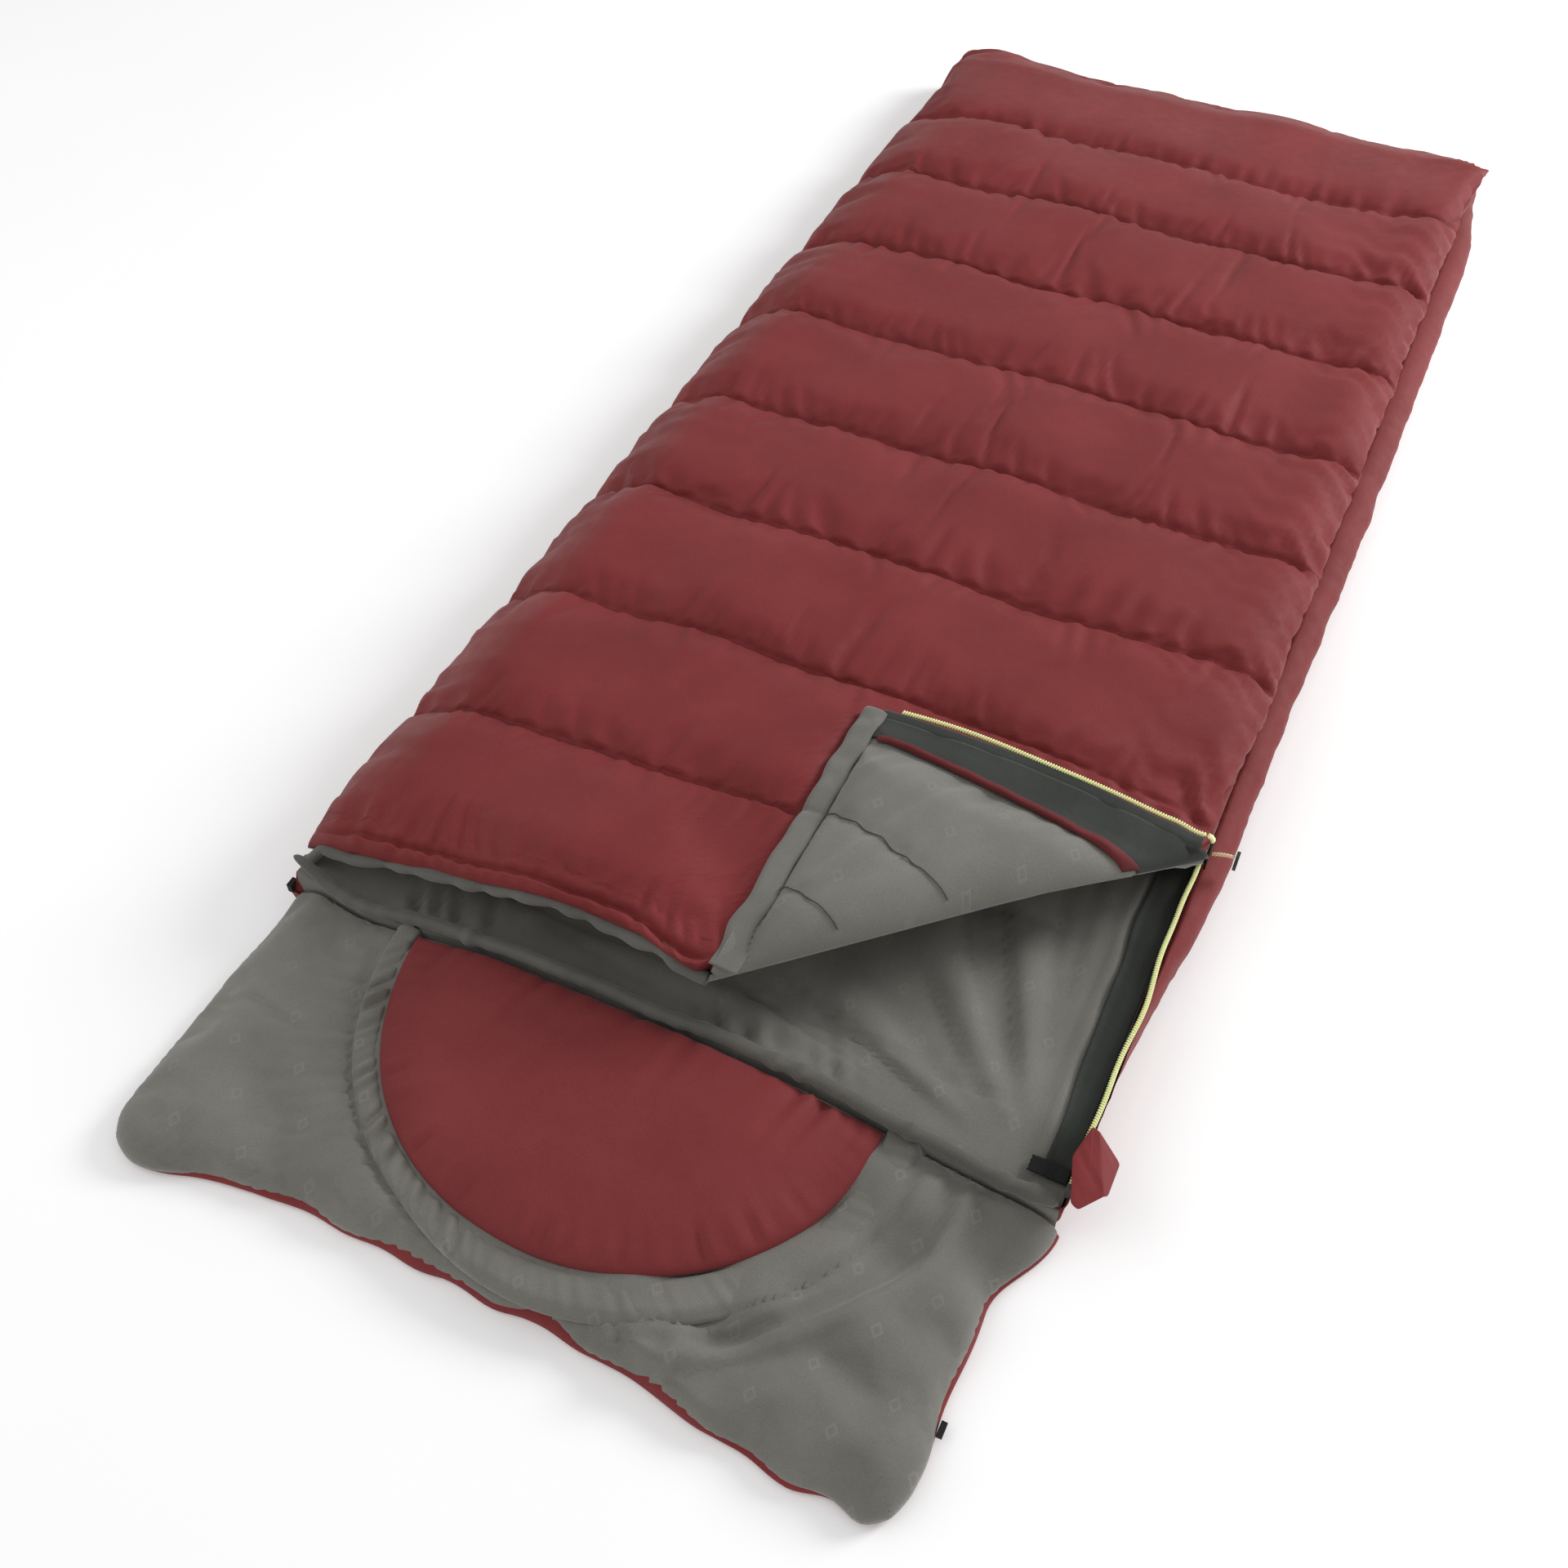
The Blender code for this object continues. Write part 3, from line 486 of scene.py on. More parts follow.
def coverTop(x, y):
    # outer face: inner face plus loft, rounded at the edges and drawn down to the crease
    past, creaseZ = creaseSide(x, y)
    fromFoot = cover["foot"] - y
    leftRound = 0.024 + 0.061 * ease((fromFoot - 0.02) / 0.30)
    side = quarter((cover["right"] - x) / cover["rightRound"])
    side = np.minimum(side, quarter((x - cover["left"]) / leftRound))
    thin = 1 - cover["footThin"] * fall(fromFoot / cover["footLength"])
    edge = side * quarter(fromFoot / 0.026) * thin
    loft = cover["seamLoft"] + (cover["crown"] - cover["seamLoft"]) * channel(y, coverStops)
    front = y - cover["mouth"]
    roll = 0.012 + (cover["rollLoft"] - 0.012) * quarter(front / 0.008)
    loft = roll + (loft - cover["rollLoft"]) * ease((front - 0.010) / 0.06)
    slim = 1 - 0.55 * np.exp(-((x - 0.392) ** 2 + (y + 0.40) ** 2) / 0.055 ** 2)
    free = coverSheet(x, y) + loft * edge * slim
    near = fall(past / cover["creaseBlend"]) * ease((cover["right"] - 0.008 - x) / 0.04)
    top = free + (creaseZ - 0.0008 - free) * near
    return np.minimum(top, creaseZ - 0.0008 + 0.55 * np.maximum(past, 0))


def coverUnder(x, y):
    # inner face, closing up on the outer one towards the crease
    past, _ = creaseSide(x, y)
    return np.maximum(coverSheet(x, y), coverTop(x, y) - 0.001 - 0.05 * quarter(past / 0.045))


def coverGrid(inset, middle, perChannel):
    # columns from the left fold to the zip or the crease, rows on the quilting lines
    columns = edgeSteps(cover["left"], cover["right"], cover["leftRound"], cover["rightRound"], 10, middle)
    stops = cover["mouth"] + np.array([0.0, 0.010, 0.030])
    bend = cover["footBend"]
    stops = np.concatenate([stops, cover["seams"], [cover["foot"] - bend]])
    rows = joinSteps(stops, [7, 9, perChannel] + [perChannel] * 7 + [perChannel // 2], 0.62)
    rows = np.concatenate([rows[:-1], cover["foot"] - bend + bend * np.sin(np.linspace(0, np.pi / 2, 10))])
    reach = np.minimum(cover["right"], rows + cover["creaseX"] - cover["mouth"] - inset * np.sqrt(2))
    share = (columns - cover["left"]) / (cover["right"] - cover["left"])
    x = cover["left"] + (reach[None, :] - cover["left"]) * share[:, None]
    return x, np.broadcast_to(rows[None, :], x.shape)


def underFlap(x, y):
    # 1 where the turned-back corner lies on the quilt
    past, _ = creaseSide(x, y)
    across = ease((x - cover["creaseX"] + 0.02) / 0.025)
    return across * ease((cover["zipCorner"] + 0.03 - y) / 0.03) * (past > 0)


def makeCover():
    # outer skin: loft, puckers along the quilting lines, ripples at the sides, stitched groove at the mouth
    x, y = coverGrid(cover["shellInset"], 124, 27)
    past, _ = creaseSide(x, y)
    bare = ease((past - cover["shellInset"]) / 0.04) * (1 - underFlap(x, y))
    inward = ease((x - cover["left"]) / 0.03) * ease((cover["foot"] - y) / 0.02) * bare
    top = coverTop(x, y)
    top = top + seamPuckers(x, y, cover["seams"], 40, 0.030, 0.0030, 0.024) * inward
    for line in cover["seams"]:
        top = top - 0.0034 * bell((y - line) / 0.0042) * inward
    fromRight, fromLeft = cover["right"] - x, x - cover["left"]
    slant = y - 0.45 * fromRight + 0.01 * ripple(fromRight, 70, 0.08)
    ripples = 0.0034 * np.exp(-fromRight / 0.060) * ripple(slant, 71, 0.040) * ease(fromRight / 0.012)
    ripples = ripples + 0.0022 * np.exp(-fromLeft / 0.06) * ripple(y, 72, 0.05) * ease(fromLeft / 0.02)
    top = top + ripples * bare + 0.0030 * drift(x, y, 73, 0.30) * inward
    front = y - cover["mouth"]
    groove = front - cover["stitchLine"] - 0.0010 * ripple(x, 74, 0.09)
    edge = ease((x - cover["left"]) / 0.05) * ease((past - cover["shellInset"]) / 0.012)
    top = top - 0.0095 * bell(groove / 0.0042) * edge
    pull = np.exp(-np.abs(groove) / 0.022) * (0.3 + 0.7 * ease(np.abs(groove) / 0.010))
    top = top + 0.0034 * pull * ripple(x + 0.3 * front * ripple(x, 76, 0.2), 75, 0.026) * edge
    leftRound, rightRound = cover["leftRound"], cover["rightRound"]
    bulge = np.sin(np.pi * quarter(fromLeft / leftRound)) * (fromLeft < leftRound)
    over = np.sin(np.pi * quarter(fromRight / rightRound)) * (fromRight < rightRound)
    sideX = x - 0.006 * bulge * channel(y, coverStops) + 0.010 * over * ease((y + 0.36) / 0.15)
    sideX = sideX + 0.009 * fall(fromRight / 0.08) * ease((y - 0.80) / 0.22)
    wander = 0.0022 * ripple(x, 77, 0.36, 4) * ease(front / 0.10) * ease((cover["foot"] - 0.04 - y) / 0.10)
    frontWave = 0.0024 * ripple(x, 78, 0.15) * fall(front / 0.05) * edge
    skin = joined(sideX, y + wander + frontWave + mouthDraw(x, y), top)
    # held on the quilting lines, round the rim, under the turned-back corner and at the mouth
    held = np.zeros(x.shape)
    for line in cover["seams"]:
        held = np.maximum(held, np.abs(y - line) < 1e-5)
    held[[0, -1]] = 1
    held[:, [0, -1]] = 1
    held = np.maximum(held, np.maximum(fall((past - cover["shellInset"]) / 0.05), underFlap(x, y)))
    held = np.maximum(held, fall((front - 0.016) / 0.012))
    skin = settle(skin, held, pressure=0.55, spare=0.030, frameCount=24, cap=0.0065, bending=0.02)
    under = coverUnder(x, y)
    inner = joined(x, y + mouthDraw(x, y), np.minimum(under + 0.008, skin[..., 2] - 0.0006))
    inner[[0, -1]] = skin[[0, -1]]
    inner[:, [0, -1]] = skin[:, [0, -1]] - [0, 0, 0.0004]
    shell = closedPad("coverShell", skin, inner, shellCloth)
    settled(shell, "cover", "shell_fabric", "cover_shell", "cover_fill")

    # liner, slack between the quilting lines
    x, y = coverGrid(0.0004, 72, 18)
    past, _ = creaseSide(x, y)
    under = coverUnder(x, y)
    slack = channel(y, coverStops) * ease((x - cover["left"]) / 0.08) * ease((cover["right"] - x) / 0.05)
    face = under - 0.006 * slack * ease(past / 0.08) * ease((y - cover["mouth"]) / 0.03)
    face = face - seamPuckers(x, y, cover["seams"], 140, 0.04, 0.0014, 0.025) * ease(past / 0.06)
    liner = thinSheet("coverLiner", joined(x, y + mouthDraw(x, y), face + 0.0012), clothThick, linerCloth)
    settled(liner, "cover", "liner_fabric", "cover_liner")
    print("upper quilt done")


makeCover()

# grey binding under the rolled edge of the mouth
mouthHem = dict(width=0.0072, height=0.0058, start=-0.4245, end=0.041, turn=0.024, forward=0.010, drop=0.016)


def makeCoverHem():
    # oval binding carried along the mouth, wavy inside its ends
    x = np.linspace(mouthHem["start"], mouthHem["end"], 150)
    inside = ease((x - mouthHem["start"]) / 0.05) * ease((mouthHem["end"] - x) / 0.05)
    turn = fall((x - mouthHem["start"]) / mouthHem["turn"])  # left end turns down to the neck roll
    y = cover["mouth"] + 0.0012 + mouthDraw(x, cover["mouth"]) - mouthHem["forward"] * turn
    y = y + (0.0026 * ripple(x, 82, 0.14) + 0.0012 * ripple(x, 83, 0.045)) * inside
    z = coverSheet(x, np.full_like(x, cover["mouth"])) + 0.0058 + 0.0014 * ripple(x, 84, 0.10) * inside
    z = z - mouthHem["drop"] * turn
    swell = 1 + 0.08 * ripple(x, 81, 0.04)
    size = joined(mouthHem["width"] * swell, mouthHem["height"] * swell)
    profile = ellipse(1, 1, 18)[None] * size[:, None]
    # the binding takes the darker grey: painted shade
    hem = sweep("coverHem", joined(x, y, z), profile, shadedGreyCloth)
    settled(hem, "cover", "liner_fabric", "cover_hem")


makeCoverHem()

# turned-back corner
flap = dict(loft=0.027, round=0.034, tiltDegrees=5.5, draw=0.045, leg=cover["leg"], hemWidth=0.021,
            hemOver=0.006, nose=0.006, noseDrop=0.012, quiltLines=(0.146, 0.247), quiltSlope=0.31,
            band=0.036, bandSlope=0.075, bandStart=0.012, strip=0.014)


def flapPast(p, s):
    # distance from the crease, less than 0 over its nose
    return (flap["leg"] - s - p) / np.sqrt(2)


def flapPoint(p, s, height):
    # p from the head edge, s from the zip edge, height above the outer face, all in the folded state
    past = flapPast(p, s)
    x = cover["creaseX"] + p
    y = cover["zipCorner"] - s - flap["draw"] * np.maximum(past, 0)
    plane = creaseHeight((p + flap["leg"] - s) / 2) + np.tan(np.radians(flap["tiltDegrees"])) * past
    bed = coverTop(np.minimum(x, cover["right"] - 0.001), y) + 0.0020
    lies = fall(np.minimum(p, s) / 0.06) * ease(past / 0.04)
    return joined(x, y, plane + (bed - plane) * lies + height)


def flapLoft(p, s):
    # liner face over the outer face: flat under the hem, full inside, round over the crease
    past = flapPast(p, s)
    edge = 0.14 + 0.86 * np.minimum(ease((s - 0.035) / 0.075), quarter((p - flap["hemWidth"]) / 0.06))
    nose = flap["nose"] / np.sqrt(2)
    dome = quarter((past + nose) / (flap["round"] + nose))
    return 0.0014 - flap["noseDrop"] + (flap["loft"] * edge + flap["noseDrop"]) * dome


def flapFolds(p, s):
    # soft creases on the turned-back liner, and its quilting lines
    past = flapPast(p, s)
    inside = ease(past / 0.05) * ease((p - flap["hemWidth"]) / 0.02) * ease((s - 0.045) / 0.03)
    soft = 0.0024 * drift(p, s, 91, 0.10) + 0.0013 * ripple(p + 0.5 * s, 92, 0.045)
    for number, start in enumerate(flap["quiltLines"]):
        away = (s - start - flap["quiltSlope"] * p) / np.hypot(1, flap["quiltSlope"])
        soft = soft - 0.0036 * bell(away / 0.0075)
        soft = soft + 0.0013 * ripple(p, 93 + number, 0.022) * np.exp(-np.abs(away) / 0.012)
    return inside * soft


def makeCorner():
    # liner face from the head edge over the crease's nose, and its two stitched lines
    leg = flap["leg"]
    s = np.minimum(leg * (1 - np.cos(np.linspace(0, np.pi / 2, 72))), leg - 0.0006)
    share = np.linspace(0, 1, 84)
    share = share - 0.35 * np.sin(2 * np.pi * share) / (2 * np.pi)
    nose = flap["nose"] * np.sin(np.linspace(0, np.pi / 2, 7)[1:])
    bare = ease((s - flap["band"] - 0.014) / 0.012)
    onFace, overNose = share[:, None] * (leg - s)[None, :], (leg - s)[None, :] + nose[:, None] * bare[None, :]
    p = np.concatenate([onFace, overNose])
    s = np.broadcast_to(s[None, :], p.shape)
    face = flapPoint(p, s, flapLoft(p, s) + flapFolds(p, s))
    held = np.zeros(p.shape)
    held[0] = held[-8:] = 1
    held[:, [0, -1]] = 1
    held = np.maximum(held, fall((p - flap["hemWidth"] + 0.004) / 0.008))
    held = np.maximum(held, fall((s - flap["band"] - flap["bandSlope"] * p) / 0.02))
    for start in flap["quiltLines"]:
        held = np.maximum(held, np.abs(s - start - flap["quiltSlope"] * p) < 0.006)
    face = settle(face, held, pressure=0.0, spare=0.016, frameCount=16, cap=0.005)
    liner = thinSheet("cornerLiner", face[:, ::-1], clothThick, linerCloth)
    settled(liner, "corner", "liner_fabric", "corner_liner")
    for number, start in enumerate(flap["quiltLines"]):
        lineP = np.linspace(flap["hemWidth"], (leg - start - 0.001) / (1 + flap["quiltSlope"]), 90)
        lineS = start + flap["quiltSlope"] * lineP
        line = flapPoint(lineP, lineS, flapLoft(lineP, lineS) + flapFolds(lineP, lineS) + 0.0016)
        thread = sweep("cornerThread" + str(number + 1), line, ellipse(0.0006, 0.0009, 8), threadCloth)
        settled(thread, "corner", "liner_fabric")
    # shell on the far side, short of the crease
    inset = np.minimum(p, np.maximum(leg - s - 0.016, 0.0))
    outer = flapPoint(inset, s, 0.0004 + 0 * p)
    inner = flapPoint(inset, s, np.maximum(flapLoft(inset, s) - 0.009, 0.0010))
    shell = closedPad("cornerShell", outer[:-6], inner[:-6], shellCloth)
    settled(shell, "corner", "shell_fabric", "corner_shell", "corner_fill")

    # dark band beside the zip, running over the crease
    run = np.linspace(0.004, 1, 110)[:, None]
    across = np.linspace(0, 1, 16)[None, :]
    start = flap["bandStart"]
    reach = (leg + flap["nose"] - flap["band"]) / (1 + flap["bandSlope"])
    inner = flap["band"] + flap["bandSlope"] * (start + run * (reach - start))
    gs = 0.001 + (inner - 0.001) * across
    gp = start + run * (leg - gs - start + flap["nose"])
    lift = 0.0026 + 0.0007 * ripple(gp, 95, 0.06) * ease((1 - run) / 0.1)
    band = flapPoint(gp, gs, flapLoft(gp, gs) + lift)
    guard = thinSheet("cornerZipGuard", band[:, ::-1], clothThick, tapeCloth)
    settled(guard, "corner", "zip_tape", "corner_zip_guard")

    # maroon draft strip along the band's inner edge
    run = np.linspace(0.05, 1, 90)[:, None]
    across = np.linspace(0, 1, 11)[None, :]
    inner = flap["band"] + flap["bandSlope"] * (start + run * (reach - start))
    bs = inner - 0.003 + flap["strip"] * (0.65 + 0.35 * run) * across
    bp = start + run * (leg - bs - start + 0.8 * flap["nose"])
    arch = arc(2 * across - 1)
    lift = 0.0034 + 0.0062 * arch * ease(run / 0.12) + 0.0008 * ripple(bp, 96, 0.05) * arch
    strip = flapPoint(bp, bs, flapLoft(bp, bs) + lift)
    baffle = closedPad("cornerBaffle", strip, flapPoint(bp, bs, flapLoft(bp, bs) + 0.0030), tubeCloth)
    settled(baffle, "corner", "shell_fabric", "corner_baffle")

    # flat hem of the head edge with its stitched groove
    along = np.linspace(-0.003, leg - 0.006, 150)[:, None]
    across = np.linspace(0, 1, 15)[None, :]
    hp = -flap["hemOver"] + (flap["hemWidth"] + flap["hemOver"]) * across + 0.0012 * ripple(along, 97, 0.07)
    hs = along + 0 * across
    crest = 0.0006 + 0.0118 * quarter(across / 0.35) - 0.0030 * ease((across - 0.8) / 0.2)
    crest = crest + 0.0009 * ripple(along, 98, 0.035) * np.sin(np.pi * across)
    tight = 0.12 + 0.88 * ease((leg - 0.006 - along) / 0.10)
    hem = closedPad("cornerHem", flapPoint(hp, hs, crest * tight)[:, ::-1],
                    flapPoint(hp, hs, 0.0002 + 0 * crest)[:, ::-1], hemCloth)
    settled(hem, "corner", "liner_fabric", "corner_hem")
    print("turned-back corner done")


makeCorner()

# lower quilt
base = dict(half=0.425, neck=-0.80, foot=1.10, loft=0.050, neckLoft=0.038, seamZ=0.0575, rimZ=0.032,
            hingeZ=0.0655, groove=0.006, pitch=0.2056, narrow=0.029, bend=0.045, footBend=0.05, zipX=0.404)
footWall = dict(left=-0.428, right=-0.262, y=1.080, low=0.026, over=0.004, bulge=0.010, lean=0.003,
                thick=0.006)
baseLiner = dict(left=-0.4225, right=0.3985, foot=1.074, fanX=0.375, fanY=-0.79)
neckRoll = dict(left=-0.4215, right=0.396, z=0.0500, radius=0.0066, leftUp=0.0125, knotSwell=0.34,
                knotWidth=0.006, knots=(0.118, 0.142, 0.252, 0.346, 0.372, -0.215))
base["seams"] = base["pitch"] * (np.arange(9) - 3.5)
baseStops = np.concatenate([[base["neck"] - 0.09], base["seams"], [base["foot"] + 0.03]])


def neckShare(y):
    # 1 at the neck, where the quilt thins
    return ease((base["neck"] + 0.09 - y) / 0.06)


def baseInside(x, y):
    # inner face: flat loft that rises to the seam along both sides and the foot
    height = base["loft"] + (base["neckLoft"] - base["loft"]) * neckShare(y)
    rise = np.maximum(ease((x - 0.345) / 0.051), ease((-0.33 - x) / 0.085)) * (1 - neckShare(y))
    rise = np.maximum(rise, ease((y - 1.01) / 0.065))
    return height + (base["seamZ"] - height) * rise


def makeBaseShell():
    # outer skin from the hinge line down the left side, across the ground and up to the zip
    half, bend, rimZ, footBend = base["half"], base["bend"], base["rimZ"], base["footBend"]
    neckEnd = base["neck"] + np.array([0.005, 0.022])
    stops = np.concatenate([neckEnd, base["seams"], [base["foot"] - footBend]])
    rows = joinSteps(stops, [5, 8] + [20] * 8 + [10])
    turn = np.linspace(0, np.pi / 2, 10)
    rows = np.concatenate([rows[:-1], base["foot"] - footBend + footBend * np.sin(turn)])
    endTurn = np.concatenate([np.zeros(len(rows) - 10), 1 - np.cos(turn)])
    puff = channel(rows, baseStops)[None, :]
    thin = (base["narrow"] * ease((-0.34 - rows) / 0.36))[None, :]
    swell = (0.004 + 0.007 * ease((rows + 0.25) / 0.5))[None, :] + 0.0012 * puff
    lip = (base["hingeZ"] - 0.030 * ease((-0.715 - rows) / 0.05))[None, :]
    # left wall, left round, flat underside with its grooves, right round, lip below the zip
    rise = np.linspace(1, 0, 8, endpoint=False)[:, None]
    leftX = -half - (0.0005 + 0.0065 * puff * np.sin(np.pi * (1 - rise) * 0.5))
    leftZ = rimZ + (lip - rimZ) * rise
    turn = np.linspace(np.pi / 2, 0, 10, endpoint=False)[:, None]
    roundX = -half + bend - (bend + 0.007 * puff) * np.sin(turn)
    roundZ = rimZ * (1 - np.cos(turn)) + 0 * puff
    middle = np.linspace(-half + bend, half - bend, 76)[:, None] + 0 * puff
    under = base["groove"] * bell(puff / 0.35) + 0 * middle
    turn = np.linspace(0, np.pi / 2, 11)[1:, None]
    rightX = half - bend + (bend + swell - thin) * np.sin(turn)
    rightZ = rimZ * (1 - np.cos(turn)) + 0 * puff
    turn = np.linspace(0, np.pi / 2, 10)[1:, None]
    lipX = base["zipX"] + (half + swell - thin - base["zipX"]) * np.cos(turn)
    lipZ = rimZ + (base["seamZ"] - rimZ) * np.sin(turn) + 0 * puff
    x = np.concatenate([leftX, roundX, middle, rightX, lipX])
    z = np.concatenate([leftZ, roundZ, under, rightZ, lipZ])
    y = np.broadcast_to(rows[None, :], x.shape)
    nearRight = bell((x - half) / 0.03) * ease((y - base["neck"]) / 0.03)
    x = x + (0.0010 * ripple(y, 111, 0.11) + 0.0004 * ripple(y + 0.4 * z, 112, 0.030)) * nearRight
    z = z + (rimZ - z) * endTurn[None, :]
    x = x * (1 - 0.006 * endTurn[None, :])
    x = x - 0.024 * ease((y - 0.86) / 0.22) * ease((x - 0.36) / 0.06)
    outer = joined(x, y, z)
    # inner side, below the liner
    inside = np.linspace(0, 1, len(x))
    liftX = x[0][None, :] + (x[-1] - x[0])[None, :] * inside[:, None]
    liftZ = np.maximum(baseInside(liftX, y) - 0.024, 0.012)
    rim = np.minimum(ease(inside / 0.03), ease((1 - inside) / 0.01))[:, None]
    ends = z[0][None, :] + (z[-1] - z[0])[None, :] * inside[:, None]
    liftZ = ends + (liftZ - ends) * rim
    liftZ = liftZ + (rimZ - liftZ) * endTurn[None, :]
    inner = joined(liftX, y, liftZ)
    inner[:, -1] = outer[:, -1]
    shell = closedPad("baseShell", neckArch(inner), outer, shellCloth)
    settled(shell, "base", "shell_fabric", "base_shell", "base_fill")

    # sewn-up end of the foot beyond the zip: a low wall that bulges outward
    across = np.linspace(footWall["left"], footWall["right"], 40)[:, None]
    up = np.linspace(0, 1, 10)[None, :]
    top = coverSheet(across, np.full_like(across, 1.074)) + footWall["over"]
    z = footWall["low"] + (top - footWall["low"]) * up * ease((-0.258 - across) / 0.03)
    bulge = footWall["bulge"] * np.sin(np.pi * up) * (1 + 0.15 * ripple(across, 113, 0.04))
    y = footWall["y"] + bulge - footWall["lean"] * up
    wall = joined(across + 0 * up, y, z)
    seam = closedPad("footSeam", wall[:, ::-1], (wall - [0, footWall["thick"], 0])[:, ::-1], shellCloth)
    settled(seam, "base", "shell_fabric")


def guardEdge(y):
    # inner edge of the dark band beside the zip
    edge = 0.345 + 0.018 * ease((-0.20 - y) / 0.2) + 0.008 * ease((-0.40 - y) / 0.38)
    return edge + 0.0022 * ripple(y, 186, 0.12)


def makeBaseLiner():
    # inner fabric: shallow channels, folds that fan out of the neck's right end, small pulls along the neck
    x = edgeSteps(baseLiner["left"], baseLiner["right"], 0.02, 0.02, 5, 118)[:, None]
    stops = np.concatenate([[base["neck"] + 0.0045], base["seams"], [baseLiner["foot"]]])
    rows = joinSteps(stops, [18] + [26] * 8 + [16])
    y = np.broadcast_to(rows[None, :], (len(x), len(rows)))
    x = np.broadcast_to(x, y.shape)
    inside = ease((x - baseLiner["left"]) / 0.05) * ease((0.352 - x) / 0.04) * ease((1.07 - y) / 0.05)
    fromNeck = y - base["neck"] - 0.026
    deep = inside * ease(fromNeck / 0.05)
    face = baseInside(x, y) + 0.0002 + deep * (0.005 * channel(y, baseStops) - 0.003)
    fanX, fanY = x - baseLiner["fanX"], y - baseLiner["fanY"]
    fan, angle = np.hypot(fanX, fanY), np.arctan2(fanY, fanX)
    spread = ease((fan - 0.04) / 0.14) * fall((fan - 0.36) / 0.25)
    crease = ripple(angle + 0.25 * fan, 121, 0.30, 5)
    face = face + deep * (0.0062 * crease - 0.0046 * bell((crease + 0.2) / 0.26)) * spread
    puckers = seamPuckers(x, y, base["seams"], 240, 0.04, 0.0014, 0.03)
    face = face + deep * (0.0020 * drift(x, y, 122, 0.12) + puckers)
    cluster = ease(0.4 + 0.8 * ripple(x, 126, 0.24, 4))
    pulls = 0.0075 * cluster * ripple(x + 0.4 * fromNeck, 125, 0.030)
    pulls = pulls * np.exp(-np.maximum(fromNeck, 0) / 0.032)
    face = face + inside * pulls * ease((fromNeck + 0.012) / 0.02)
    guard = guardEdge(y) - 0.007
    ledge = 0.005 * bell((x - guard) / 0.007) * ease((-0.38 - y) / 0.05) * ease(fromNeck / 0.05)
    face = face + ledge
    face = face + 0.006 * ease((-0.402 - x) / 0.018) * ease(fromNeck / 0.03)
    # the fabric turns down over the neck end
    skin = joined(x, y, face + 0.0012)
    down = np.repeat(skin[:, :1], 4, axis=1)
    down[..., 1] = base["neck"] + np.array([0.0030, 0.0028, 0.0028, 0.0031])[None, :]
    down[..., 2] = np.array([0.006, 0.020, 0.034, 0.0378])[None, :]
    sheet = thinSheet("baseLiner", neckArch(np.concatenate([down, skin], 1)), 0.0010, linerCloth)
    settled(sheet, "base", "liner_fabric", "base_liner")


def makeNeckRoll():
    # thin piped roll with knots where the seam gathers, its left end curving up to the hinge
    x = np.linspace(neckRoll["left"], neckRoll["right"], 300)
    up = ease((-0.380 - x) / 0.040)
    y = base["neck"] + 0.0050 + 0.0012 * ripple(x, 131, 0.16)
    z = neckRoll["z"] + 0.0008 * ripple(x, 132, 0.12) + neckRoll["leftUp"] * up
    knots = sum(neckRoll["knotSwell"] * bell((x - spot) / neckRoll["knotWidth"])
                for spot in neckRoll["knots"])
    swell = 1 + 0.055 * ripple(x, 133, 0.022) + knots
    tight = 0.35 + 0.65 * np.minimum(quarter((x - neckRoll["left"]) / 0.012),
                                     quarter((neckRoll["right"] - x) / 0.012))
    size = neckRoll["radius"] * swell * tight * (1 - 0.35 * up)
    profile = ellipse(1, 1, 18)[None] * joined(size * 1.04, size)[:, None]
    # the roll takes the darker grey: painted shade
    roll = sweep("neckRoll", neckArch(joined(x, y, z)), profile, shadedGreyCloth)
    settled(roll, "base", "liner_fabric", "neck_roll")


makeBaseShell()
makeBaseLiner()
makeNeckRoll()
print("lower quilt done")

# head section and pillow
hood = dict(left=-0.425, right=0.405, head=-1.10, neck=-0.802, loft=0.034, edge=0.007, corner=(0.045, 0.040),
            taper=0.034, taperLength=0.095, flare=0.009, hollow=0.027, peek=0.0020, round=0.05)
pillow = dict(x=-0.020, y=-0.805, half=0.250, depth=0.228, crown=0.042, band=0.036)


def hoodPlace(x, y):
    # square outline with two rounded head corners, right edge drawn in towards the head
    for side, edge, size in ((-1, hood["left"], hood["corner"][0]), (1, hood["right"], hood["corner"][1])):
        dx = (x - (edge - side * size)) * side
        dy = hood["head"] + size - y
        inside = (dx > 0) & (dy > 0)
        pull = np.where(inside, np.maximum(dx, dy) / np.maximum(np.hypot(dx, dy), 1e-9), 1.0)
        x = np.where(inside, edge - side * size + side * dx * pull, x)
        y = np.where(inside, hood["head"] + size - dy * pull, y)
    hollow = hood["hollow"] * ease((x + 0.40) / 0.16) * fall((x - 0.02) / 0.30)
    y = y + hollow * fall((y - hood["head"]) / 0.12)
    draw = hood["taper"] * ease((hood["neck"] - y) / hood["taperLength"])
    flare = hood["flare"] * ease((hood["neck"] - 0.01 - y) / 0.10)
    return x - draw * np.clip(x / hood["right"], 0, 1) ** 2 - flare * np.clip(x / hood["left"], 0, 1) ** 3, y


def pillowRing(x, y):
    # 1 on the pillow's outline, 0 at its middle on the neck line
    return np.hypot((x - pillow["x"]) / pillow["half"], (y - pillow["y"]) / pillow["depth"])


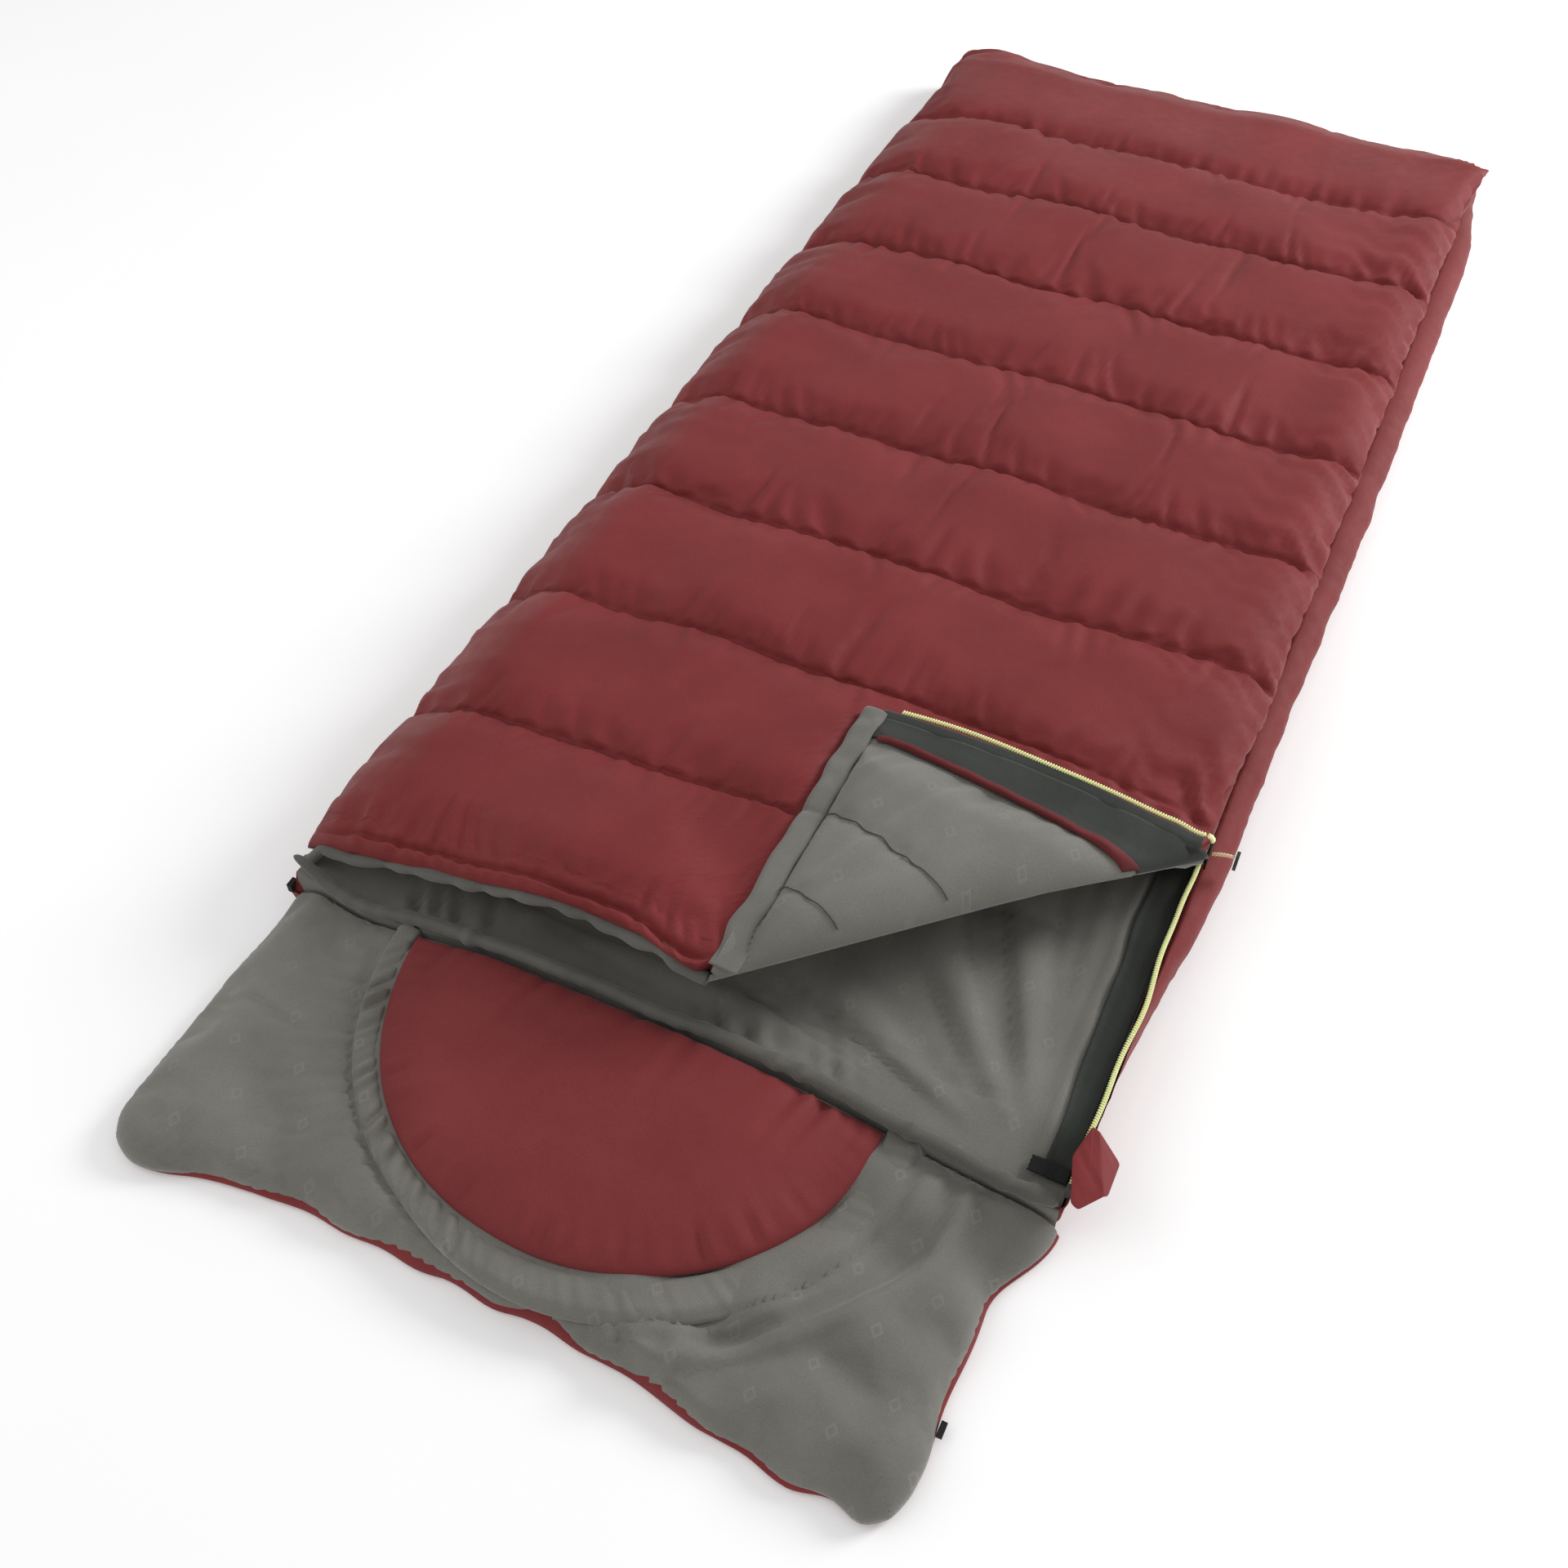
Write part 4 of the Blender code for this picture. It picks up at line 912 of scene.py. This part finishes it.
def makeHood():
    # thin quilt: rounded edges, a low ridge round the pillow, folds on the right, shell below
    bend = hood["round"]
    column = edgeSteps(hood["left"], hood["right"], bend, bend, 9, 110)
    row = edgeSteps(hood["head"], hood["neck"], bend, 0.008, 9, 44)
    flatX, flatY = np.meshgrid(column, row, indexing="ij")
    x, y = hoodPlace(flatX, flatY)
    fromHead, fromRight = flatY - hood["head"], hood["right"] - flatX
    edge = np.minimum(quarter((flatX - hood["left"]) / bend), quarter(fromRight / bend))
    edge = np.minimum(edge, quarter(fromHead / bend))
    ring = pillowRing(x, y)
    inside = edge * ease((hood["neck"] - y) / 0.03)
    away = (ring - 1) * 0.24
    right = ease((x - 0.02) / 0.15)
    face = hood["edge"] + (hood["loft"] - hood["edge"]) * edge
    face = face + inside * 0.005 * bell(np.maximum(away - 0.036, 0) / 0.05)
    # folds that run from the band's lower right towards the head edge
    crease = ripple(np.arctan2(y + 1.03, x - 0.07) + 0.3 * away, 151, 0.42, 5)
    face = face + inside * right * 0.0075 * crease * ease((away - 0.03) / 0.03)
    low = bell((x - 0.055 - 0.25 * (y + 1.04)) / 0.055) * ease((away - 0.034) / 0.02)
    face = face + inside * low * 0.0075 * ripple(x + 0.1 * y, 154, 0.026)
    face = face + inside * (0.0016 + 0.0030 * right) * drift(x, y, 152, 0.11)
    # one long fold from the neck's right end along the band, and a gathered knot at its lower end
    foldLine = (away - 0.052 - 0.10 * (x - 0.05)) / 0.009
    fold = bell(foldLine - 1) - 0.8 * bell(foldLine + 0.6)
    face = face + inside * right * 0.0085 * fold
    leftFolds = np.exp(-np.maximum(away - 0.030, 0) / 0.022) * ease((-0.14 - x) / 0.08)
    turn = np.arctan2(pillow["y"] - y, x - pillow["x"])
    face = face + inside * leftFolds * 0.0030 * ripple(turn, 155, 0.075) * ease((away - 0.027) / 0.008)
    short = bell((y + 0.925 + 0.12 * (x + 0.36)) / 0.006)
    face = face - 0.004 * short * ease((x + 0.40) / 0.02) * ease((-0.30 - x) / 0.03) * inside
    seam = bell((away - 0.030 - 0.012 * right) / 0.0035) * ease((hood["neck"] - 0.012 - y) / 0.02)
    face = face - 0.0060 * seam * inside
    # the liner stops short of the shell along the head and right edges
    scallop = 0.0026 * ripple(flatX, 156, 0.13, 5) * ease((flatX - hood["left"]) / 0.08)
    wave = 0.0014 * ripple(flatY, 157, 0.10, 4) * fall(fromRight / 0.05)
    wave = wave * ease((hood["neck"] - flatY) / 0.05)
    y = y + scallop * fall(fromHead / 0.06) * ease(fromRight / 0.05)
    x = x + wave
    peek = np.clip(hood["peek"] * (1 + 0.8 * ripple(flatX, 158, 0.11, 5)), 0.0008, 0.0038)
    peek = peek - (peek + 0.0022) * np.maximum(fall((flatX + 0.37) / 0.06), ease((flatX - 0.31) / 0.05))
    linerY = y + peek * fall(fromHead / 0.03)
    shy = 0.002 * (1 + 0.6 * ripple(flatY, 159, 0.12, 4))
    shy = shy - (shy + 0.0015) * fall((fromHead - 0.05) / 0.05)
    linerX = x - shy * fall(fromRight / 0.03) - 0.0015 * fall((flatX - hood["left"]) / 0.03)
    skin = joined(linerX, linerY, face)
    held = np.maximum(fall((edge - 0.1) / 0.4), (ring < 1.17) * 1.0)
    held[:, -1] = 1
    skin = settle(skin, held, pressure=0.25, spare=0.020, frameCount=18, cap=0.007)
    liner = thinSheet("hoodLiner", neckArch(skin), clothThick, linerCloth)
    settled(liner, "hood", "liner_fabric", "hood_liner")
    # shell under the liner, flat on the ground
    bulge = 0.002 * np.abs(ripple(flatX, 153, 0.16)) * bell(fromHead / 0.05) * (1 - edge) ** 2
    rim = quarter(edge / 0.6)
    bottom = joined(x, y - bulge, 0.004 * (1 - rim))
    crown = np.minimum(0.006 + 0.016 * quarter(edge / 0.5), skin[..., 2] - 0.0030 - 0.004 * ease(edge / 0.5))
    top = joined(x, y - bulge, np.maximum(crown, bottom[..., 2] + 0.0006))
    shell = closedPad("hoodShell", neckArch(top), neckArch(bottom), shellCloth)
    settled(shell, "hood", "shell_fabric", "hood_shell", "hood_fill")


def makePillow():
    # half dome on polar steps, puckered along the neck and round its seam
    turn = np.linspace(0, np.pi, 121)[:, None]
    reach = np.sin(np.linspace(0, np.pi / 2, 48))[None, :]
    x = pillow["x"] + pillow["half"] * reach * np.cos(turn)
    y = pillow["y"] - pillow["depth"] * reach * np.sin(turn)
    floor = hood["loft"] + 0.0018
    neckGap = pillow["y"] - y
    dome = pillow["crown"] * arc(reach) * quarter(neckGap / 0.11)
    fade = ease(neckGap / 0.006) * ease((1 - reach) / 0.08)
    cluster = 0.4 + 0.6 * ease(0.5 + 0.7 * ripple(x, 164, 0.2, 4))
    puckers = 0.0042 * np.exp(-neckGap / 0.030) * ripple(x + 0.25 * neckGap, 161, 0.026) * fade * cluster
    seam = ease((reach - 0.8) / 0.15)
    puckers = puckers + 0.0019 * ripple(turn, 162, 0.09) * seam * ease((1 - reach) / 0.04)
    crown = floor + 0.004 + dome + puckers + 0.0018 * drift(x, y, 163, 0.12) * ease((1 - reach) / 0.15)
    skin = joined(x, y, crown)
    held = np.zeros(x.shape)
    held[[0, -1]] = 1
    held[:, -1] = 1
    skin = settle(skin, held, pressure=0.5, spare=0.014, frameCount=16, cap=0.008)
    under = joined(x, y, np.full(x.shape, floor))
    panel = closedPad("pillowPanel", neckArch(skin), neckArch(under), pillowCloth)
    settled(panel, "hood", "pillow_fabric", "pillow_pad", "pillow_panel")

    # band round the pillow: low, gathered most on the left
    turn = np.linspace(-0.030, np.pi + 0.030, 640)[:, None]
    across = np.linspace(0, 1, 15)[None, :]
    left = ease((turn - 1.35) / 0.8)
    beyond = 0.002 + pillow["band"] * (1.1 - 0.42 * left) * across
    gather = ripple(turn + 0.05 * across, 171, 0.075, 9) * (0.22 + 0.78 * left)
    x = pillow["x"] + (pillow["half"] + beyond) * np.cos(turn)
    y = pillow["y"] - (pillow["depth"] + beyond) * np.sin(turn)
    arch = arc(2 * across - 1)
    height = floor + 0.0010 + (0.0030 + 0.0022 * left) * arch ** 0.7 + 0.0030 * gather * arch
    height = height - 0.0058 * ease((across - 0.7) / 0.3) * (1 - left)
    under = joined(x, y, np.full(x.shape, floor - 0.0065))
    band = closedPad("pillowBand", neckArch(joined(x, y, height)), neckArch(under), linerCloth)
    settled(band, "hood", "liner_fabric", "pillow_band")


makeHood()
makePillow()
print("head section done")

# zip
zipLine = dict(x=0.401, foot=1.076, turn=0.040, head=-0.785, end=-0.28, baseZ=0.0722, coverZ=0.0790,
               coil=0.0028, wire=0.0010, pitch=0.0028, sliderY=-0.380)


def zipPath(head, z):
    # up the right side, a quarter turn at the foot corner, then along the foot
    turn = np.linspace(0, np.pi / 2, 14)
    cx, cy = zipLine["x"] - zipLine["turn"], zipLine["foot"] - zipLine["turn"]
    bend = joined(cx + zipLine["turn"] * np.cos(turn), cy + zipLine["turn"] * np.sin(turn))
    flat = np.concatenate([[[zipLine["x"], head]], bend, [[zipLine["end"], zipLine["foot"]]]])
    return np.column_stack([flat, np.full(len(flat), z)])


def openWave(line):
    # the open half of the zip lies in a slack wave, still at the slider and at its head end
    y = line[:, 1]
    loose = ease((zipLine["sliderY"] - 0.02 - y) / 0.06) * ease((y - zipLine["head"]) / 0.03)
    line = line.copy()
    line[:, 0] += 0.0022 * ripple(y, 183, 0.17, 4) * loose
    line[:, 2] += 0.0012 * (1 + ripple(y, 184, 0.13, 4)) * loose
    return line


def makeCoil(name, line, body, node):
    # helix of wire round the chain line
    tangent, side, up = frames(line)
    angle = (2 * np.pi * lengthAlong(line) / zipLine["pitch"])[:, None]
    outward = np.cos(angle) * side + np.sin(angle) * up
    helix = line + (zipLine["coil"] - zipLine["wire"]) * outward
    turn = np.linspace(0, 2 * np.pi, 4, endpoint=False)[None, :, None]
    section = np.cos(turn) * outward[:, None] + np.sin(turn) * tangent[:, None]
    ring = helix[:, None] + zipLine["wire"] * section
    turned = ring.transpose(1, 0, 2)
    coil = makePiece(name, turned, quadsOf(4, len(line), wrap=True), coilPlastic)
    return settled(coil, body, "zip_coil", node)


def bezier(points, count):
    # smooth curve on four control points
    t = np.linspace(0, 1, count)[:, None]
    a, b, c, d = np.asarray(points, float)
    return (1 - t) ** 3 * a + 3 * t * (1 - t) ** 2 * b + 3 * t ** 2 * (1 - t) * c + t ** 3 * d


def makeCoils():
    # lower half, the corner's length, and the upper half with its tail from the corner to the slider
    step = zipLine["pitch"] / 8
    lower = openWave(alongLine(zipPath(zipLine["head"], zipLine["baseZ"]), step))
    makeCoil("baseZipCoil", lower, "base", "base_zip_coil")
    p = np.linspace(0.034, flap["leg"] - 0.006, 120)
    line = flapPoint(p, -0.0145 + 0.0016 * ripple(p, 185, 0.22, 3), 0.0085 + 0 * p)
    makeCoil("cornerZipCoil", alongLine(line, step), "corner", "corner_zip_coil")
    meet = line[-1] + (line[-1] - line[-2]) / np.linalg.norm(line[-1] - line[-2]) * 0.003
    chain = np.array([zipLine["x"], zipLine["sliderY"] + 0.016, zipLine["coverZ"]])
    tail = bezier([meet, meet + [0.007, 0.006, -0.008], chain + [0.006, -0.016, 0.012], chain], 24)
    upper = zipPath(zipLine["sliderY"] + 0.02, zipLine["coverZ"])
    makeCoil("coverZipCoil", alongLine(np.concatenate([tail[:-1], upper]), step), "cover", "cover_zip_coil")


def makeTapes():
    # upright strips behind the coils, and a flat one along the corner's edge
    def tape(name, line, low, high, body, node):
        # upright strip on the line, from height low to high
        across = np.linspace(low, high, 5)
        grid = line[:, None] + across[None, :, None] * np.array([0, 0, 1.0])
        piece = thinSheet(name, grid + np.array([0.0005, 0, 0]), 0.001, tapeCloth)
        settled(piece, body, "zip_tape", node)

    lower = openWave(alongLine(zipPath(zipLine["head"], 0.0), 0.008))
    tape("baseZipTape", lower, 0.0579, 0.0692, "base", "base_zip_tape")
    upper = alongLine(zipPath(zipLine["sliderY"] + 0.02, 0.0), 0.012)
    tape("coverZipTape", upper, 0.0820, 0.0931, "cover", "cover_zip_tape")
    p = np.linspace(0.016, flap["leg"] - 0.006, 90)[:, None]
    s = np.linspace(-0.0115, 0.010, 7)[None, :]
    p, s = np.broadcast_arrays(p, s)
    grid = flapPoint(p, s, 0.0080 - 0.0050 * ease(s / 0.010))
    strip = thinSheet("cornerZipTape", grid[:, ::-1], 0.001, tapeCloth)
    settled(strip, "corner", "zip_tape", "corner_zip_tape")


guardBand = dict(head=-0.772, foot=1.04, outerX=0.3975)
hookPad = dict(x=(0.359, 0.396), y=(-0.773, -0.758), over=0.0085, hooks=0.0007, pitch=0.0046, thick=0.0016)
draftTube = dict(x=0.358, y=(-0.345, 1.015), z=0.0862, half=(0.026, 0.006))


def makeGuard():
    # dark band beside the zip, its hook pad at the neck, and the draft tube behind the upper half
    y = np.linspace(guardBand["head"], guardBand["foot"], 220)[:, None]
    across = np.linspace(0, 1, 11)[None, :]
    innerX = guardEdge(y)
    x = innerX + (guardBand["outerX"] - innerX) * across
    y = np.broadcast_to(y, x.shape)
    lift = 0.0030 + 0.0008 * ripple(y, 181, 0.07)
    lift = lift + 0.0035 * fall(across / 0.25) * ease((-0.38 - y) / 0.05)
    guard = thinSheet("baseZipGuard", joined(x, y, baseInside(x, y) + lift), clothThick, tapeCloth)
    settled(guard, "base", "zip_tape", "base_zip_guard")
    x, y = np.meshgrid(np.linspace(*hookPad["x"], 22), np.linspace(*hookPad["y"], 12), indexing="ij")
    pitch = hookPad["pitch"]
    hooks = hookPad["hooks"] * np.cos(x * 2 * np.pi / pitch) * np.cos(y * 2 * np.pi / pitch)
    face = joined(x, y, baseInside(x, y) + hookPad["over"] + hooks)
    patch = thinSheet("hookPatch", face, hookPad["thick"], webCloth)
    settled(patch, "base", "zip_tape", "hook_patch")

    y = np.linspace(*draftTube["y"], 120)
    path = joined(np.full_like(y, draftTube["x"]), y, np.full_like(y, draftTube["z"]))
    swell = 1 + 0.06 * ripple(y, 182, 0.05)
    profile = ellipse(*draftTube["half"], 14)[None] * swell[:, None, None]
    draft = sweep("coverBaffle", path, profile, tubeCloth)
    settled(draft, "cover", "shell_fabric", "cover_baffle")


makeCoils()
makeTapes()
makeGuard()
print("zip done")


# small pieces
def roundedCopy(node, width, material, body, slot, reach=1.0):
    # copy of the CAD block with rounded edges, its length across times reach
    # reach above 0 keeps the left end in place, below 0 the right end
    shape = bmesh.new()
    shape.from_mesh(nodes[node].data)
    bmesh.ops.dissolve_limit(shape, angle_limit=0.02, verts=shape.verts[:], edges=shape.edges[:])
    sharp = [edge for edge in shape.edges if len(edge.link_faces) == 2 and edge.calc_face_angle() > 0.5]
    bmesh.ops.bevel(shape, geom=sharp, offset=width, segments=3, profile=0.5, affect="EDGES",
                    clamp_overlap=True)
    bmesh.ops.triangulate(shape, faces=shape.faces[:])
    name = node.split("_")[0] + node.split("_")[-1].capitalize() + "Made"
    data = bpy.data.meshes.new(name)
    shape.to_mesh(data)
    shape.free()
    points = np.zeros(len(data.vertices) * 3, np.float32)
    data.vertices.foreach_get("co", points)
    points = footSink(points)
    root = points[:, 0].min() if reach > 0 else points[:, 0].max()
    points[:, 0] = root + (points[:, 0] - root) * abs(reach)
    data.vertices.foreach_set("co", points.astype(np.float32).ravel())
    data.materials.append(material)
    return settled(placed(name, data), body, slot, node)


zipTab = dict(place=(0.413, -0.772, 0.0780), half=0.0015, droop=0.95, tilt=0.05,
              corners=((-0.0130, 0.0470), (0.0200, 0.0330), (0.0205, -0.0100), (0.0010, -0.0350),
                       (-0.0070, -0.0310), (-0.0200, 0.0120), (-0.0130, 0.0470)))


def makeSmall():
    # rounded blocks: node, bevel, finish, body, slot and reach
    blocks = (("zip_top_stop", 0.0010, blackPlastic, "base", "zip_plastic"),
              ("zip_end_box", 0.0012, blackPlastic, "base", "zip_plastic"),
              ("zip_slider", 0.0006, sliderPaint, "slider", "slider_metal"),
              ("pull_grip", 0.0010, blackPlastic, "pull", "zip_plastic"),
              ("neck_tab", 0.0012, webCloth, "base", "webbing", -0.55),
              ("foot_tab", 0.0012, webCloth, "base", "webbing"),
              ("hood_tab", 0.0008, webCloth, "hood", "webbing", 0.55))
    for block in blocks:
        roundedCopy(*block)

    # braided pull: a tube with two strands winding round it
    low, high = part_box("pull_cord")
    y = (low[1] + high[1]) / 2
    z = low[2] + 0.0021
    line = bezier([(low[0], y, z), (low[0] + 0.008, y, z + 0.004), (high[0] - 0.008, y, z + 0.0065),
                   (high[0], y, z + 0.0065)], 60)
    turn = np.linspace(0, 2 * np.pi, 16, endpoint=False)
    twist = np.linspace(0, 14 * np.pi, 60)[:, None]
    size = 0.0018 + 0.0003 * np.cos(2 * turn[None, :] - twist)
    profile = joined(size * np.cos(turn), size * np.sin(turn))
    cord = sweep("pullCord", line, profile, creamCord)
    settled(cord, "pull", "pull_cord", "pull_cord")

    # blunt six-sided leaf of doubled cloth folded over the zip's head end, its ridge along the zip
    corners = np.array(zipTab["corners"])
    rim = alongLine(np.column_stack([corners, np.zeros(7)]), 0.0015)[:-1, :2]
    for _ in range(3):
        rim = (rim + np.roll(rim, 1, 0) + np.roll(rim, -1, 0)) / 3
    reach = np.sin(np.linspace(0, np.pi / 2, 18))[None, :]
    u, v = rim[:, :1] * reach, rim[:, 1:] * reach
    fold = u + 0.005 - 0.394 * (0.043 - v)
    ridge = np.where(fold > 0, -fold * zipTab["droop"], fold * zipTab["tilt"])
    body = zipTab["half"] * arc(reach)
    body = body + 0.0004 * ripple(v + u, 191, 0.02) * (1 - reach ** 4)
    tabX, tabY, tabZ = zipTab["place"]
    top, bottom = (joined(tabX + u, tabY + v, tabZ + ridge + out) for out in (body, -body - 0.0006))
    bottom[:, -1] = top[:, -1]
    top, bottom = np.concatenate([top, top[:1]]), np.concatenate([bottom, bottom[:1]])
    leaf = closedPad("zipTab", top, bottom, shellCloth)
    settled(leaf, "tab", "shell_fabric", "zip_tab")
    print("small pieces done")


makeSmall()

# floor, light and camera
view = dict(place=(0.4649, -1.5018, 1.4204), yawDegrees=-25.478, pitchDegrees=49.979, lens=38.549)
studio = dict(key=108, fill=20, world=0.63, floorGlow=0.10, floorHalf=12.0, floorZ=-0.0006)


def makeStage():
    # pale floor a hair below the ground plane, two soft lamps, white surroundings and the photo's camera
    data = bpy.data.meshes.new("floor")
    size, low = studio["floorHalf"], studio["floorZ"]
    square = [(-size, -size, low), (size, -size, low), (size, size, low), (-size, size, low)]
    data.from_pydata(square, [], [(0, 1, 2, 3)])
    pale = Finish("paleFloor")
    paint = pale.mix(pale.noise(3.0), linear(252, 252, 252), linear(249, 249, 249))
    pale.surface({"Base Color": paint, "Roughness": 0.9, "Emission Color": (1, 1, 1, 1),
                  "Emission Strength": studio["floorGlow"]})
    data.materials.append(pale.material)
    floor = placed("floor", data)

    def lamp(name, place, target, size, power):
        # round area lamp turned to its target
        light = bpy.data.lights.new(name, "AREA")
        light.shape = "DISK"
        light.size = size
        light.energy = power
        holder = placed(name, light)
        holder.location = place
        holder.rotation_euler = (Vector(target) - Vector(place)).to_track_quat("-Z", "Y").to_euler()

    lamp("keyLight", (2.6, 2.2, 2.2), (0, 0.2, 0), 1.6, studio["key"])
    lamp("fillLight", (-2.4, -1.6, 2.6), (0, -0.4, 0), 3.0, studio["fill"])
    world = bpy.data.worlds.new("studio")
    world.use_nodes = True
    world.node_tree.nodes["Background"].inputs["Color"].default_value = (1, 1, 1, 1)
    world.node_tree.nodes["Background"].inputs["Strength"].default_value = studio["world"]
    bpy.context.scene.world = world
    bpy.context.scene.view_settings.view_transform = "Standard"

    lens = bpy.data.cameras.new("photoCamera")
    lens.lens = view["lens"]
    lens.sensor_width = 36.0
    camera = placed("photoCamera", lens)
    camera.location = view["place"]
    camera.rotation_euler = (np.radians(90 - view["pitchDegrees"]), 0, -np.radians(view["yawDegrees"]))
    bpy.context.scene.camera = camera


makeStage()
print("stage done")
